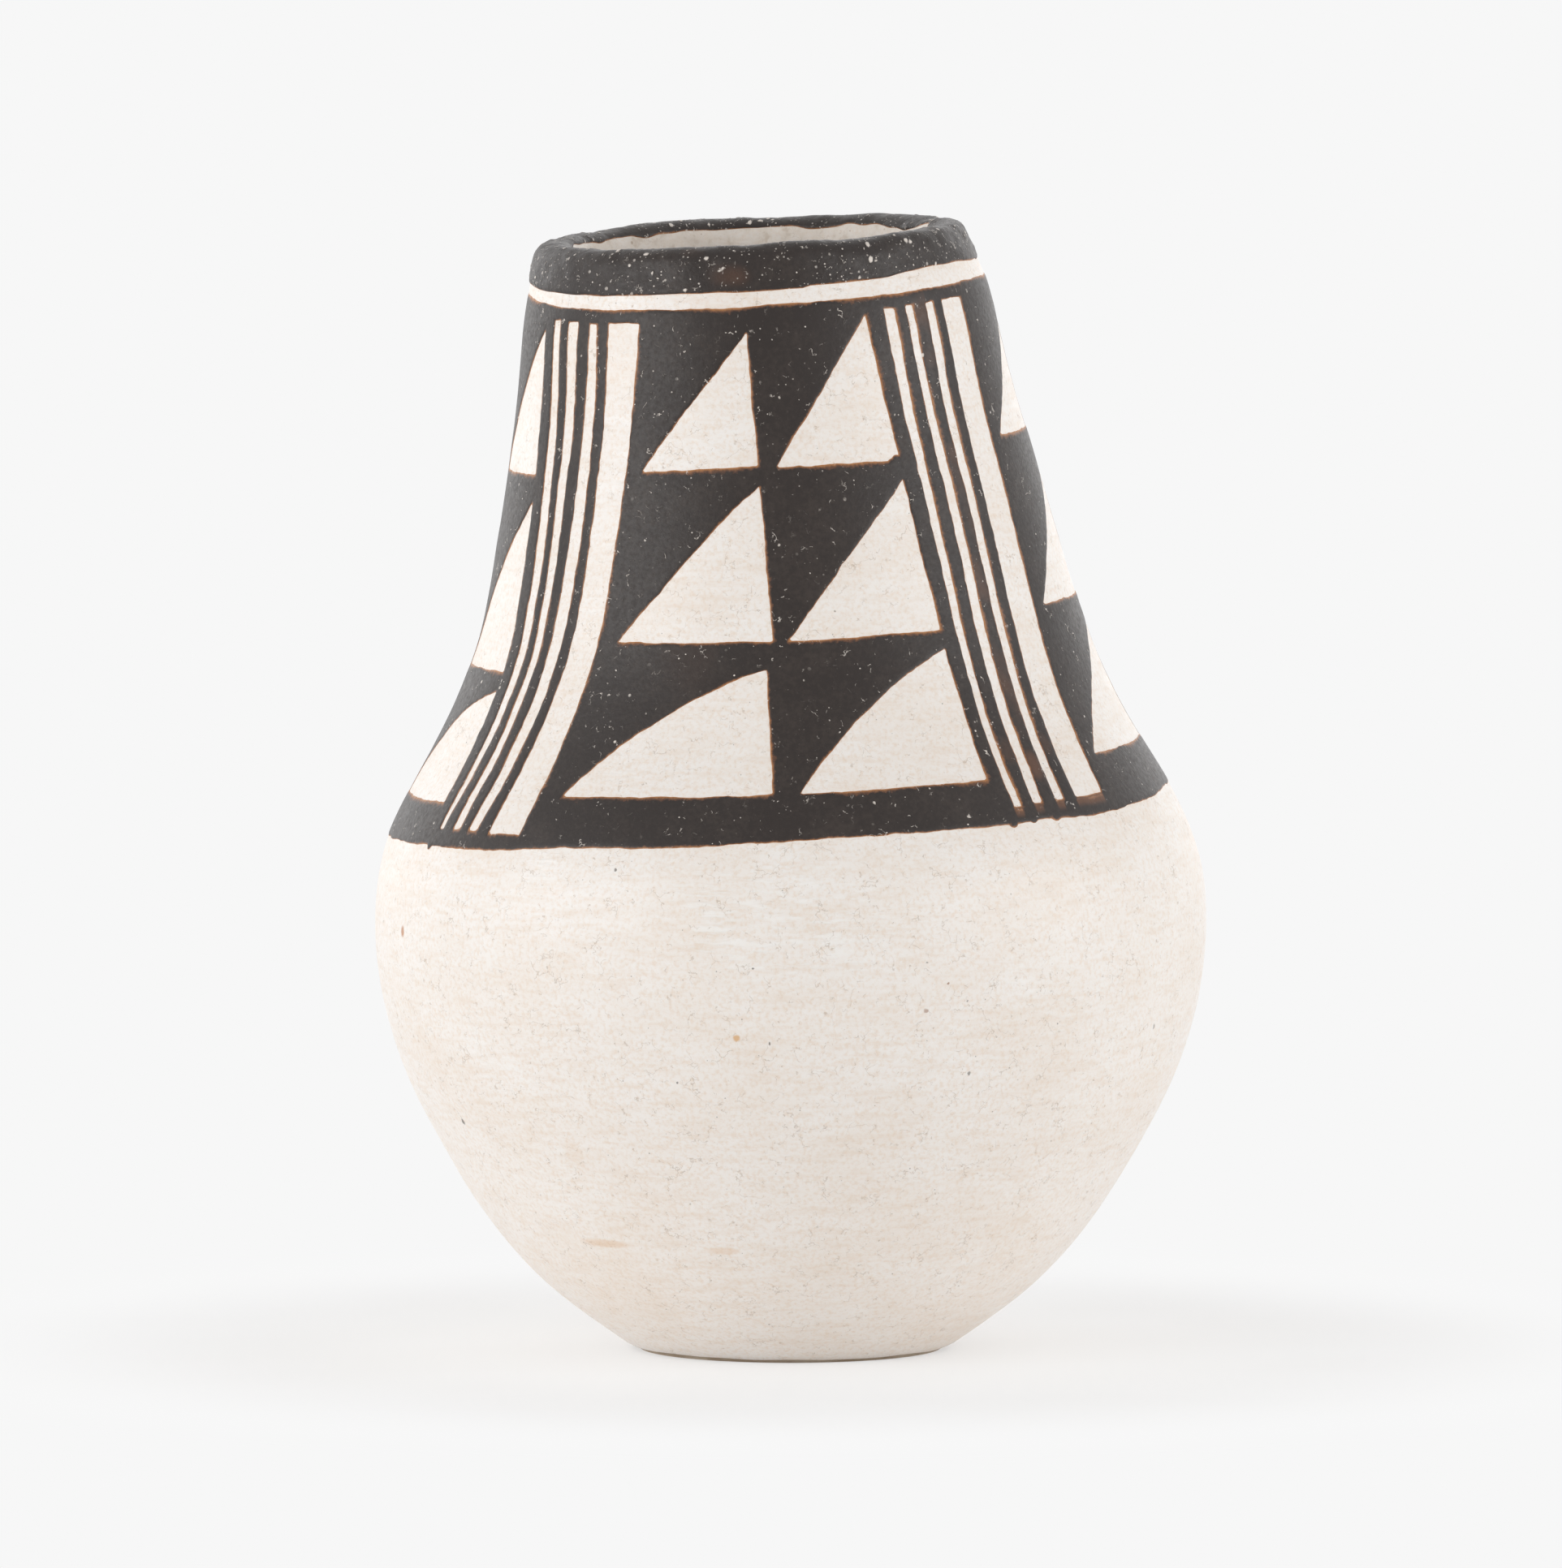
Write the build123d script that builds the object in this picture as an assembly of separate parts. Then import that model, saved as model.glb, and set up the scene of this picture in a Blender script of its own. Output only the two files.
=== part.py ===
"""A small coil-built pueblo jar: clay base and coils, white slip, and black painted bands and panels."""

from build123d import *
import math
import os

# Outer surface, of bare clay below the belly and of the slip from there up, in millimetres. Heights are from the
# floor, rises from the middle of the belly, steps from the place just below, and insets from the radius there
BASE_RADIUS = 14.5  # flat underside
PUKI_RADIUS = 23.3  # edge of the saucer that the base was pressed into
PUKI_HEIGHT = 6.6
LOWER_BODY_INSET = 7.1  # from the belly
LOWER_BODY_HEIGHT = 19.1
BELLY_RADIUS = 40.1
BELLY_HEIGHT = 41.7
BELLY_ROUND = 3.6  # half the height of the ball-shaped zone round the belly
SHOULDER_INSET = 2.5
SHOULDER_RISE = 11.0
SLOPE_INSET = 4.75
SLOPE_STEP = 8.4
NECK_FOOT_RADIUS = 28.85
NECK_FOOT_STEP = 10.0
NECK_RADIUS = 26.2
NECK_STEP = 11.0
NECK_TOP_RADIUS = 23.55
NECK_TOP_STEP = 13.1
COLLAR_INSET = 1.5
COLLAR_STEP = 7.9
LIP_SIDE_INSET = 0.75
LIP_SIDE_STEP = 3.2
CREST_INSET = 1.4
CREST_STEP = 1.7
LEAN = 3.0  # degrees: the upper half was built up a little to the left

# Clay: drops are from the crest of the lip
WALL = 3.6
FLOOR_THICKNESS = 5.6
MOUTH_INSET = 2.6  # from the crest
MOUTH_DROP = 3.9
SEAM_BEVEL = 2.2  # how far each seam slides down towards the inside
COIL_CROWN = 0.45  # how far a smoothed coil still stands into the jar
LOWER_COILS = 3
SHOULDER_COILS = 2
NECK_COILS = 3
RIM_COIL_DROP = 12.3

# Slip and paint coats
SLIP = 0.3
SLIP_START = 0.5  # height above the floor where the slip begins
INSIDE_SLIP_DROP = 9.8  # where the slip inside the neck ends
PAINT = 0.25
RIM_PAINT_DROP = 3.8
INSIDE_PAINT_DROP = 1.6
BORDER_DROP = 5.4
BORDER_WIDTH = 1.2
BAND_RISE = 10.5
BAND_WIDTH = 1.5

# Painted lines, in bundles of three: degrees round the jar from its front, towards its right side
BUNDLES = {"front_right": 47.9, "back_right": 140.0, "back_left": 222.0, "front_left": 311.2}
SLANTS = {"front_right": 0.4, "back_right": 1.5, "back_left": -1.5, "front_left": -4.6}
LINES = 3
LINE_WIDTH = 1.6
STRIPE_WIDTH = 1.0  # white, before each line
WIDE_STRIPE_WIDTH = 4.0  # white, after the last line

# Painted panels: white triangles left open in the black, two in each row, rows from the band upwards
PANELS = {"front": "front_left", "right": "front_right", "back": "back_right", "left": "back_left"}
PANEL_FOOT = 3.0  # black between the band and the lowest row
ROW_GAPS = (2.2, 1.7, 1.0)  # black above each row
ROW_PARTS = (11.9, 14.6, 13.3)  # how the rows share the height that is left
HYPOTENUSE_BOWS = (1.3, 0.5, 0.4)
TRIANGLE_SIDE_GAP = 1.8
TRIANGLE_MIDDLE_GAP = 1.9

# Curve work
OFFSET_STEPS = 80
WALL_STEPS = 14
SEARCH_STEPS = 40
REACH = 1.5  # times the belly: how far cutting shapes reach
FULL_TURN = 360
SECTION_AZIMUTH = 90  # degrees from the front to the plane that the section is drawn in
SPIN_START = 147  # degrees from the front to where spun surfaces close, in a white stripe at the back
LINE_SECTOR = 40  # degrees to each side of a bundle that its lines are cut from

# Places that follow from these
LOWER_BODY_RADIUS = BELLY_RADIUS - LOWER_BODY_INSET
SHOULDER_RADIUS = BELLY_RADIUS - SHOULDER_INSET
SLOPE_RADIUS = SHOULDER_RADIUS - SLOPE_INSET
SLOPE_RISE = SHOULDER_RISE + SLOPE_STEP
NECK_FOOT_RISE = SLOPE_RISE + NECK_FOOT_STEP
NECK_RISE = NECK_FOOT_RISE + NECK_STEP
NECK_TOP_RISE = NECK_RISE + NECK_TOP_STEP
COLLAR_RADIUS = NECK_TOP_RADIUS - COLLAR_INSET
COLLAR_RISE = NECK_TOP_RISE + COLLAR_STEP
LIP_SIDE_RADIUS = COLLAR_RADIUS - LIP_SIDE_INSET
LIP_SIDE_RISE = COLLAR_RISE + LIP_SIDE_STEP
CREST_RADIUS = LIP_SIDE_RADIUS - CREST_INSET
CREST_RISE = LIP_SIDE_RISE + CREST_STEP
CLAY_RADIUS = BELLY_RADIUS - SLIP
INSIDE_RADIUS = CLAY_RADIUS - WALL
CUT_REACH = REACH * BELLY_RADIUS
BAND_TOP_RISE = BAND_RISE + BAND_WIDTH
BORDER_TOP_RISE = CREST_RISE - BORDER_DROP
BORDER_FOOT_RISE = BORDER_TOP_RISE - BORDER_WIDTH
BUNDLE_WIDTH = LINES * (LINE_WIDTH + STRIPE_WIDTH) + WIDE_STRIPE_WIDTH


def at(radius, height):
    """A point of the jar's section."""
    return Vector(radius, 0, height)


def up(radius, rise):
    """A point of the section that is given by its rise above the middle of the belly."""
    return at(radius, BELLY_HEIGHT + rise)


def leaned(shape):
    """The shape turned about the middle of the belly, as the upper half leans."""
    return Pos(0, 0, BELLY_HEIGHT) * Rot(0, -LEAN, 0) * Pos(0, 0, -BELLY_HEIGHT) * shape


def beside(curve, share, distance):
    """A point at a distance to the right of the curve, which is out of the clay."""
    along = curve % share
    return curve @ share + Vector(along.Z, 0, -along.X) * distance


def offset_curve(curve, distance, start=None, end=None):
    """The curve moved out of the clay, with its ends where they would fall or at given points."""
    points = [beside(curve, step / OFFSET_STEPS, distance) for step in range(OFFSET_STEPS + 1)]
    points[0] = start or points[0]
    points[-1] = end or points[-1]
    return Spline(points, tangents=(curve % 0, curve % 1))


def share_at(curve, height):
    """How far along the curve, as a share of its length, it passes the height."""
    rising = (curve @ 1).Z > (curve @ 0).Z
    low, high = 0.0, 1.0
    for _ in range(SEARCH_STEPS):
        middle = (low + high) / 2
        if ((curve @ middle).Z < height) == rising:
            low = middle
        else:
            high = middle
    return (low + high) / 2


def share_near(curve, point):
    """How far along the curve, as a share of its length, it passes closest to the point."""
    shares = [step / SEARCH_STEPS for step in range(SEARCH_STEPS + 1)]
    best = min(shares, key=lambda share: (curve @ share - point).length)
    low, high = max(0.0, best - 1 / SEARCH_STEPS), min(1.0, best + 1 / SEARCH_STEPS)
    for _ in range(SEARCH_STEPS):
        third = (high - low) / 3
        if (curve @ (low + third) - point).length < (curve @ (high - third) - point).length:
            high -= third
        else:
            low += third
    return (low + high) / 2


def turned(*edges):
    """A closed outline in the section, spun round the upright axis."""
    return Rot(0, 0, SPIN_START - SECTION_AZIMUTH) * revolve(make_face(Wire(edges)), axis=Axis.Z)


# The section: each curve runs upwards outside, and downwards inside
INWARD = Vector(-1, 0, 0)


def ball_point(radius, side):
    """The level end of the ball-shaped zone, below the belly (side -1) or above it (side 1)."""
    return up(math.sqrt(radius**2 - BELLY_ROUND**2), side * BELLY_ROUND)


def ball_tangent(radius, side):
    """The upward direction of the surface at the end of the ball-shaped zone."""
    spoke = ball_point(radius, side) - up(0, 0)
    return Vector(-spoke.Z, 0, spoke.X)


clay_low = Spline(
    at(BASE_RADIUS, 0),
    at(PUKI_RADIUS, PUKI_HEIGHT),
    at(LOWER_BODY_RADIUS, LOWER_BODY_HEIGHT),
    ball_point(CLAY_RADIUS, -1),
    tangents=(at(PUKI_RADIUS, PUKI_HEIGHT) - at(BASE_RADIUS, 0), ball_tangent(CLAY_RADIUS, -1)),
)
slip_high = Spline(
    ball_point(BELLY_RADIUS, 1),
    up(SHOULDER_RADIUS, SHOULDER_RISE),
    up(SLOPE_RADIUS, SLOPE_RISE),
    up(NECK_FOOT_RADIUS, NECK_FOOT_RISE),
    up(NECK_RADIUS, NECK_RISE),
    up(NECK_TOP_RADIUS, NECK_TOP_RISE),
    up(COLLAR_RADIUS, COLLAR_RISE),
    up(LIP_SIDE_RADIUS, LIP_SIDE_RISE),
    up(CREST_RADIUS, CREST_RISE),
    tangents=(ball_tangent(BELLY_RADIUS, 1), INWARD),
)
slip_low = offset_curve(clay_low, SLIP, end=ball_point(BELLY_RADIUS, -1))
clay_high = offset_curve(slip_high, -SLIP, start=ball_point(CLAY_RADIUS, 1))


def wall_inside(curve, first, last):
    """Points of the inner wall that face the clay's outer curve, evenly from one share of its length to another."""
    shares = [first + (last - first) * step / WALL_STEPS for step in range(WALL_STEPS + 1)]
    return [beside(curve, share, -WALL) for share in shares]


inside_high = Spline(
    clay_high @ 1,
    up(CREST_RADIUS - MOUTH_INSET, CREST_RISE - MOUTH_DROP),
    *wall_inside(clay_high, share_at(clay_high, BELLY_HEIGHT + NECK_RISE), 0.0)[:-1],
    ball_point(INSIDE_RADIUS, 1),
    tangents=(INWARD, ball_tangent(INSIDE_RADIUS, 1) * -1),
)
inside_low = Spline(
    ball_point(INSIDE_RADIUS, -1),
    *wall_inside(clay_low, 1.0, share_at(clay_low, PUKI_HEIGHT))[1:],
    at(0, FLOOR_THICKNESS),
    tangents=(ball_tangent(INSIDE_RADIUS, -1) * -1, INWARD),
)


# Seams between the clay pieces: each is the share of the outer curve and of the inner curve where it ends
def seam(outside, inside, share):
    """A bevelled seam that leaves the outer curve at the share and slides down on its way inside."""
    slide = SEAM_BEVEL / inside.length
    return share, min(1.0, share_near(inside, outside @ share) + slide)


def even_seams(outside, inside, first, last, count):
    """The seams of a stack of equally high coils, with the two that close it."""
    return [seam(outside, inside, first + (last - first) * step / count) for step in range(count + 1)]


def clay_ring(outside, inside, low, high):
    """One coil between two seams, smoothed outside and slightly crowned inside."""
    inner_high, inner_low = inside @ high[1], inside @ low[1]
    crown = beside(inside, (low[1] + high[1]) / 2, COIL_CROWN)
    return turned(
        outside.trim(low[0], high[0]),
        Line(outside @ high[0], inner_high),
        ThreePointArc(inner_high, crown, inner_low),
        Line(inner_low, outside @ low[0]),
    )


def rim_coil(low_seam):
    """The last coil, smoothed inside and out and rolled over into the lip."""
    return turned(
        clay_high.trim(low_seam[0], 1),
        inside_high.trim(0, low_seam[1]),
        Line(inside_high @ low_seam[1], clay_high @ low_seam[0]),
    )


def puki_base(low_seam):
    """The base: a thick disc pressed into a saucer, up to the first seam."""
    return turned(
        Line(at(0, 0), at(BASE_RADIUS, 0)),
        clay_low.trim(0, low_seam[0]),
        Line(clay_low @ low_seam[0], inside_low @ low_seam[1]),
        inside_low.trim(low_seam[1], 1),
        Line(at(0, FLOOR_THICKNESS), at(0, 0)),
    )


def ball_ring(outer_radius, inner_radius):
    """A ring of a ball-shaped shell, cut level below and square to the leaning upper half above."""
    shell = Pos(0, 0, BELLY_HEIGHT) * (Sphere(outer_radius) - Sphere(inner_radius))
    block = Box(2 * CUT_REACH, 2 * CUT_REACH, CUT_REACH)
    below = Pos(0, 0, BELLY_HEIGHT - BELLY_ROUND - CUT_REACH / 2) * block
    above = Pos(0, 0, BELLY_HEIGHT + BELLY_ROUND + CUT_REACH / 2) * block
    return shell - below - leaned(above)


def clay_pieces():
    """The base, the coils and the rim, by name, from the floor up."""
    puki_share = share_near(clay_low, at(PUKI_RADIUS, PUKI_HEIGHT))
    rim_share = share_at(clay_high, BELLY_HEIGHT + CREST_RISE - RIM_COIL_DROP)
    low = even_seams(clay_low, inside_low, puki_share, 1.0, LOWER_COILS)
    low[-1] = (1.0, 0.0)
    high = even_seams(clay_high, inside_high, 0.0, rim_share, SHOULDER_COILS + NECK_COILS)
    high[0] = (0.0, 1.0)
    pieces = {"puki_base": puki_base(low[0])}
    for i in range(LOWER_COILS):
        pieces[f"lower_coil_{i + 1}"] = clay_ring(clay_low, inside_low, low[i], low[i + 1])
    pieces["belly_coil"] = ball_ring(CLAY_RADIUS, INSIDE_RADIUS)
    for i in range(SHOULDER_COILS + NECK_COILS):
        number = i + 1 if i < SHOULDER_COILS else i + 1 - SHOULDER_COILS
        name = f"shoulder_coil_{number}" if i < SHOULDER_COILS else f"neck_coil_{number}"
        pieces[name] = leaned(clay_ring(clay_high, inside_high, high[i], high[i + 1]))
    pieces["rim_coil"] = leaned(rim_coil(high[-1]))
    return pieces


# Coats
inside_slip = offset_curve(inside_high, SLIP)
inside_paint = offset_curve(inside_high, SLIP + PAINT)
paint_high = offset_curve(slip_high, PAINT)


def share_over(under, over, share):
    """The share of a coat's outer curve that lies over a share of its inner one; their ends belong together."""
    return share if share in (0.0, 1.0) else share_near(over, under @ share)


def coat(under, over, first, last):
    """The outline of a coat between two curves, cut square to the lower one at two shares of its length."""
    over_first, over_last = share_over(under, over, first), share_over(under, over, last)
    return [
        under.trim(first, last),
        Line(under @ last, over @ over_last),
        over.trim(over_first, over_last),
        Line(over @ over_first, under @ first),
    ]


def coat_over_lip(under, over, foot, inner_under, inner_over, inner_foot):
    """The outline of a coat that goes up outside, over the lip and down inside, between two shares."""
    over_foot = share_over(under, over, foot)
    inner_over_foot = share_over(inner_under, inner_over, inner_foot)
    return [
        under.trim(foot, 1),
        inner_under.trim(0, inner_foot),
        Line(inner_under @ inner_foot, inner_over @ inner_over_foot),
        inner_over.trim(0, inner_over_foot),
        over.trim(over_foot, 1),
        Line(over @ over_foot, under @ foot),
    ]


def slip_pieces():
    """The white slip, by name: below the belly, round it, and from there over the lip into the neck."""
    inside_end = share_at(inside_high, BELLY_HEIGHT + CREST_RISE - INSIDE_SLIP_DROP)
    upper = coat_over_lip(clay_high, slip_high, 0.0, inside_high, inside_slip, inside_end)
    return {
        "lower_slip": turned(*coat(clay_low, slip_low, share_at(clay_low, SLIP_START), 1.0)),
        "belly_slip": ball_ring(BELLY_RADIUS, CLAY_RADIUS),
        "upper_slip": leaned(turned(*upper)),
    }


def rim_paint():
    """The black band on the lip, outside and a little way inside."""
    foot = share_at(slip_high, BELLY_HEIGHT + CREST_RISE - RIM_PAINT_DROP)
    inside_foot = share_at(inside_slip, BELLY_HEIGHT + CREST_RISE - INSIDE_PAINT_DROP)
    return leaned(turned(*coat_over_lip(slip_high, paint_high, foot, inside_slip, inside_paint, inside_foot)))


def outside_paint(foot_rise, top_rise):
    """The outline of a coat of paint on the slip between two rises."""
    foot = share_at(slip_high, BELLY_HEIGHT + foot_rise)
    top = share_at(slip_high, BELLY_HEIGHT + top_rise)
    return coat(slip_high, paint_high, foot, top)


# Painted pattern
def surface_radius(rise):
    """The painted surface's radius at a rise."""
    return (slip_high @ share_at(slip_high, BELLY_HEIGHT + rise)).X


def line_shift(bundle, rise):
    """How far a slanting bundle has moved sideways at a rise, from its place half way up."""
    return (rise - (BAND_TOP_RISE + BORDER_FOOT_RISE) / 2) * math.tan(math.radians(-SLANTS[bundle]))


def triangle_rows():
    """The rise of the foot and of the apex of each row of triangles."""
    foot = BAND_TOP_RISE + PANEL_FOOT
    clear = BORDER_FOOT_RISE - foot - sum(ROW_GAPS)
    rows = []
    for part, gap in zip(ROW_PARTS, ROW_GAPS):
        apex = foot + clear * part / sum(ROW_PARTS)
        rows.append((foot, apex))
        foot = apex + gap
    return rows


def facing(azimuth, corners, bow=0):
    """A prism from the axis outwards at an azimuth, through corners given as (sideways, rise)."""
    points = [up(sideways, rise) for sideways, rise in corners]
    edges = [Line(a, b) for a, b in zip(points, points[1:] + points[:1])]
    if bow:
        middle = (points[-1] + points[0]) / 2
        across = (points[0] - points[-1]).normalized()
        edges[-1] = ThreePointArc(points[-1], middle + Vector(-across.Z, 0, across.X) * bow, points[0])
    prism = extrude(make_face(Wire(edges)), amount=CUT_REACH, dir=(0, -1, 0))
    return Rot(0, 0, azimuth) * prism


def bundle_slab(bundle, left, right):
    """The prism between two sideways places in a bundle, from the foot of the band to the crest."""
    low, high = line_shift(bundle, BAND_RISE), line_shift(bundle, CREST_RISE)
    corners = [
        (left + low, BAND_RISE),
        (right + low, BAND_RISE),
        (right + high, CREST_RISE),
        (left + high, CREST_RISE),
    ]
    return facing(BUNDLES[bundle], corners)


def edge_azimuth(bundle, sideways, rise):
    """Degrees round the jar at which a line of a bundle crosses the surface at a rise."""
    place = sideways + line_shift(bundle, rise)
    return BUNDLES[bundle] + math.degrees(math.asin(place / surface_radius(rise)))


def sector(outline, first, last):
    """The outline spun from one azimuth to another."""
    return Rot(0, 0, first - SECTION_AZIMUTH) * revolve(make_face(Wire(outline)), Axis.Z, last - first)


def line_paint(outline, bundle):
    """The black lines of one bundle."""
    middle = BUNDLES[bundle]
    lines = []
    for i in range(LINES):
        left = i * (LINE_WIDTH + STRIPE_WIDTH) + STRIPE_WIDTH - BUNDLE_WIDTH / 2
        line = sector(outline, middle - LINE_SECTOR, middle + LINE_SECTOR)
        line -= bundle_slab(bundle, -CUT_REACH, left)
        line -= bundle_slab(bundle, left + LINE_WIDTH, CUT_REACH)
        lines += line.solids()
    return Compound(lines)


def panel_paint(outline, bundle_before, bundle_after):
    """The black ground of one panel, with its white triangles left open."""
    start = BUNDLES[bundle_before]
    sweep = (BUNDLES[bundle_after] - start) % FULL_TURN
    middle = start + sweep / 2
    half = BUNDLE_WIDTH / 2

    def across(bundle, sideways, rise):
        """How far sideways of the panel's middle an edge of a bundle lies at a rise."""
        turn = math.radians(edge_azimuth(bundle, sideways, rise) - middle)
        return surface_radius(rise) * math.sin(turn)

    ground = sector(outline, start, start + sweep)
    ground -= bundle_slab(bundle_before, -CUT_REACH, half)
    ground -= bundle_slab(bundle_after, -half, CUT_REACH)
    inner = TRIANGLE_MIDDLE_GAP / 2
    for (foot, apex), bow in zip(triangle_rows(), HYPOTENUSE_BOWS):
        left_foot = across(bundle_before, half, foot) + TRIANGLE_SIDE_GAP
        right_foot = across(bundle_after, -half, foot) - TRIANGLE_SIDE_GAP
        right_apex = across(bundle_after, -half, apex) - TRIANGLE_SIDE_GAP
        ground -= facing(middle, [(left_foot, foot), (-inner, foot), (-inner, apex)], bow)
        ground -= facing(middle, [(inner, foot), (right_foot, foot), (right_apex, apex)], bow)
    return ground


def paint_pieces():
    """The black bands, lines and panels, by name."""
    pieces = {
        "rim_paint": rim_paint(),
        "border_paint": leaned(turned(*outside_paint(BORDER_FOOT_RISE, BORDER_TOP_RISE))),
        "band_paint": leaned(turned(*outside_paint(BAND_RISE, BAND_TOP_RISE))),
    }
    outline = outside_paint(BAND_TOP_RISE, BORDER_FOOT_RISE)
    names = list(BUNDLES)
    for bundle in names:
        pieces[f"line_paint_{bundle}"] = leaned(line_paint(outline, bundle))
    for panel, before in PANELS.items():
        after = names[(names.index(before) + 1) % len(names)]
        pieces[f"panel_paint_{panel}"] = leaned(panel_paint(outline, before, after))
    return pieces


def main():
    os.makedirs("parts", exist_ok=True)
    pieces = clay_pieces()
    pieces.update(slip_pieces())
    pieces.update(paint_pieces())
    for name, shape in pieces.items():
        export_step(shape, f"parts/{name}.step")
        print(name, len(shape.solids()), round(sum(s.volume for s in shape.solids()), 2))


main()
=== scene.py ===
"""The looks of a small coil-built pueblo jar: hand-shaped clay, white slip and brushed black paint."""

import itertools
import math
from functools import partial

import bpy
import numpy as np
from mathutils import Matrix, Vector
from mathutils.bvhtree import BVHTree


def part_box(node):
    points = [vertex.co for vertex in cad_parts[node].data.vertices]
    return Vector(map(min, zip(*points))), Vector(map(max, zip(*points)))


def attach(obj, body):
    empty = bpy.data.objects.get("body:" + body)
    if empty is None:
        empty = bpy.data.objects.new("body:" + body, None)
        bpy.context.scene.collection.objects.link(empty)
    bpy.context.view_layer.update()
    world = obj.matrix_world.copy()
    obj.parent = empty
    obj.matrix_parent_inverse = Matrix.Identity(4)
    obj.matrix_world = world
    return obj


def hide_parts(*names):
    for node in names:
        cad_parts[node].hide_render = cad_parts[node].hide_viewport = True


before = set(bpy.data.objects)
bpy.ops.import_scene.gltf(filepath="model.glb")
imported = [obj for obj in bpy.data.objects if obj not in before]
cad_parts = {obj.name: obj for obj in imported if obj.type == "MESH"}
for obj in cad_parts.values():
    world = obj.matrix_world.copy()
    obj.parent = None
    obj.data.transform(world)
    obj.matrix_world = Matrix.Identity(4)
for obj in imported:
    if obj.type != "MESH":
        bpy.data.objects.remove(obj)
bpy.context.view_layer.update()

# The jar, in millimetres and degrees. Rises are from the middle of the belly, azimuths from the front to
# the right. A noise is given by size, wavelength and seed, a wave round the jar by size, count and start
MM = 0.001
TURN = 360
BELLY_HEIGHT = 41.7
BELLY_ROUND = 3.6
LEAN = 3.0
SLIP = 0.3
LIP_CORE = (19.3, 62.6)  # radius and rise inside the lip, towards which its section is read
LIP_ANGLES = (-40, 178)
LIP_RAYS = 60
LIP_REACH = 15.0
NECK_END_RISE = 59.0  # where the section goes from the neck to the lip
INSIDE_TOP_RISE = 62.2  # and from the lip to the inner wall
INSIDE_END_RISE = 52.0
INSIDE_SLIP_DROP = 9.8
FAR = 80.0
SECTION_STEP = 0.5
BELLY_STEPS = 20
SPACING = 0.1  # of the finished section's points
SMOOTHING = 0.3

# How the hands left it: at rises, how far the wall stands aside to the right and how much wider it is
HAND_SHAPE = (
    (-27, 0, 0), (-21, 0.1, -0.2), (-13, 0.05, -0.22), (-5, 0, 0), (4, 0, -0.1), (9.5, -0.42, -0.12),
    (17, -0.22, -0.2), (22, 0.08, -0.15), (27, 0.35, -0.18), (34, 0.38, 0), (42, 0.3, 0),
    (50, 0.08, -0.05), (58, -0.1, -0.04), (62, -0.15, 0), (70, -0.05, 0),
)
HAND_REACH = 2.0
HAND_STEPS = 7
DENTS = (  # azimuth, rise, reach round in degrees, reach upwards, and depth
    (90, 65.6, 50, 1.8, -0.35), (90, 66.8, 50, 1.1, -0.5), (-90, 66.9, 55, 1.9, -1.1),
    (-90, 62.4, 50, 1.6, 0.35), (0, 66.9, 70, 1.3, -0.3), (180, 66.9, 70, 1.3, -0.3),
    (20, 65.4, 20, 2.0, 0.15), (-35, 65.2, 18, 2.0, -0.12), (-8, 64.0, 14, 1.6, 0.1),
)
SWELLS = ((0.1, 26.0, 1), (0.05, 11.0, 2))
NECK_WAVES = ((0.1, 2, 0.9), (0.06, 3, 2.0))
NECK_WAVE_RISES = (5, 40)  # where these begin and are full
CREST_WAVES = ((0.1, 2, -0.6), (0.07, 5, 1.0))  # up and down
CREST_BUMPS = ((0.12, 7.0, 3),)
CREST_REACH = 12.0
AXIS_REACH = 10.0  # round the axis, where the base keeps its shape
SCRAPES = ((0.022, 2.6, 5),)
SCRAPE_STRETCH = (0.35, 0.35, 1.0)
DIMPLES = ((0.02, 4.2, 6),)
LIP_LUMPS = ((0.1, 2.6, 7), (0.07, 1.1, 8))
LUMPS_BELOW = (7.0, 2.0)  # where they begin and are full, below the crest

# The painted pattern as the brush left it: lines round the jar as (azimuth, rise)
RIM_FOOT = (
    (-90, 62.7), (-50, 62.15), (12, 62.1), (14, 62.3),
    (36, 62.6), (52, 63.05), (80, 62.95), (180, 62.6),
)
BORDER_TOP = ((-84, 61.6), (-54, 60.9), (-7, 60.67), (23, 60.87), (45, 61.05), (81, 61.4), (180, 61.2))
BAND_FOOT = (
    (-91, 10.0), (-64, 10.3), (-49, 10.2), (-33, 10.6), (-16, 10.45), (0, 10.7), (20, 10.65),
    (35, 10.5), (44, 10.7), (51, 10.3), (65, 10.7), (83, 11.3), (140, 10.8), (220, 10.4),
)
BORDER_FOOT = 59.95  # paint below it belongs to the panels and lines
BAND_TOP = 11.6  # and so does paint above this
PAINTED_RISES = (8.8, 62.0)
RIM_RISES = (61.8, 61.2)  # outside and inside, a little past the black of the lip
INSIDE_PAINT_DROP = 0.9
UNSTEADY_FOOT = ((0.07, 1.6, 31),)
UNSTEADY_INSIDE = ((0.4, 6.0, 32), (0.25, 2.0, 33))
UNSTEADY_BORDER = ((0.06, 1.6, 41),)
UNSTEADY_BAND = ((0.08, 1.6, 42),)
RINGS = {"border": 22, "band": 38, "slip": 40}  # radii at which noise round the jar is taken

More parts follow.
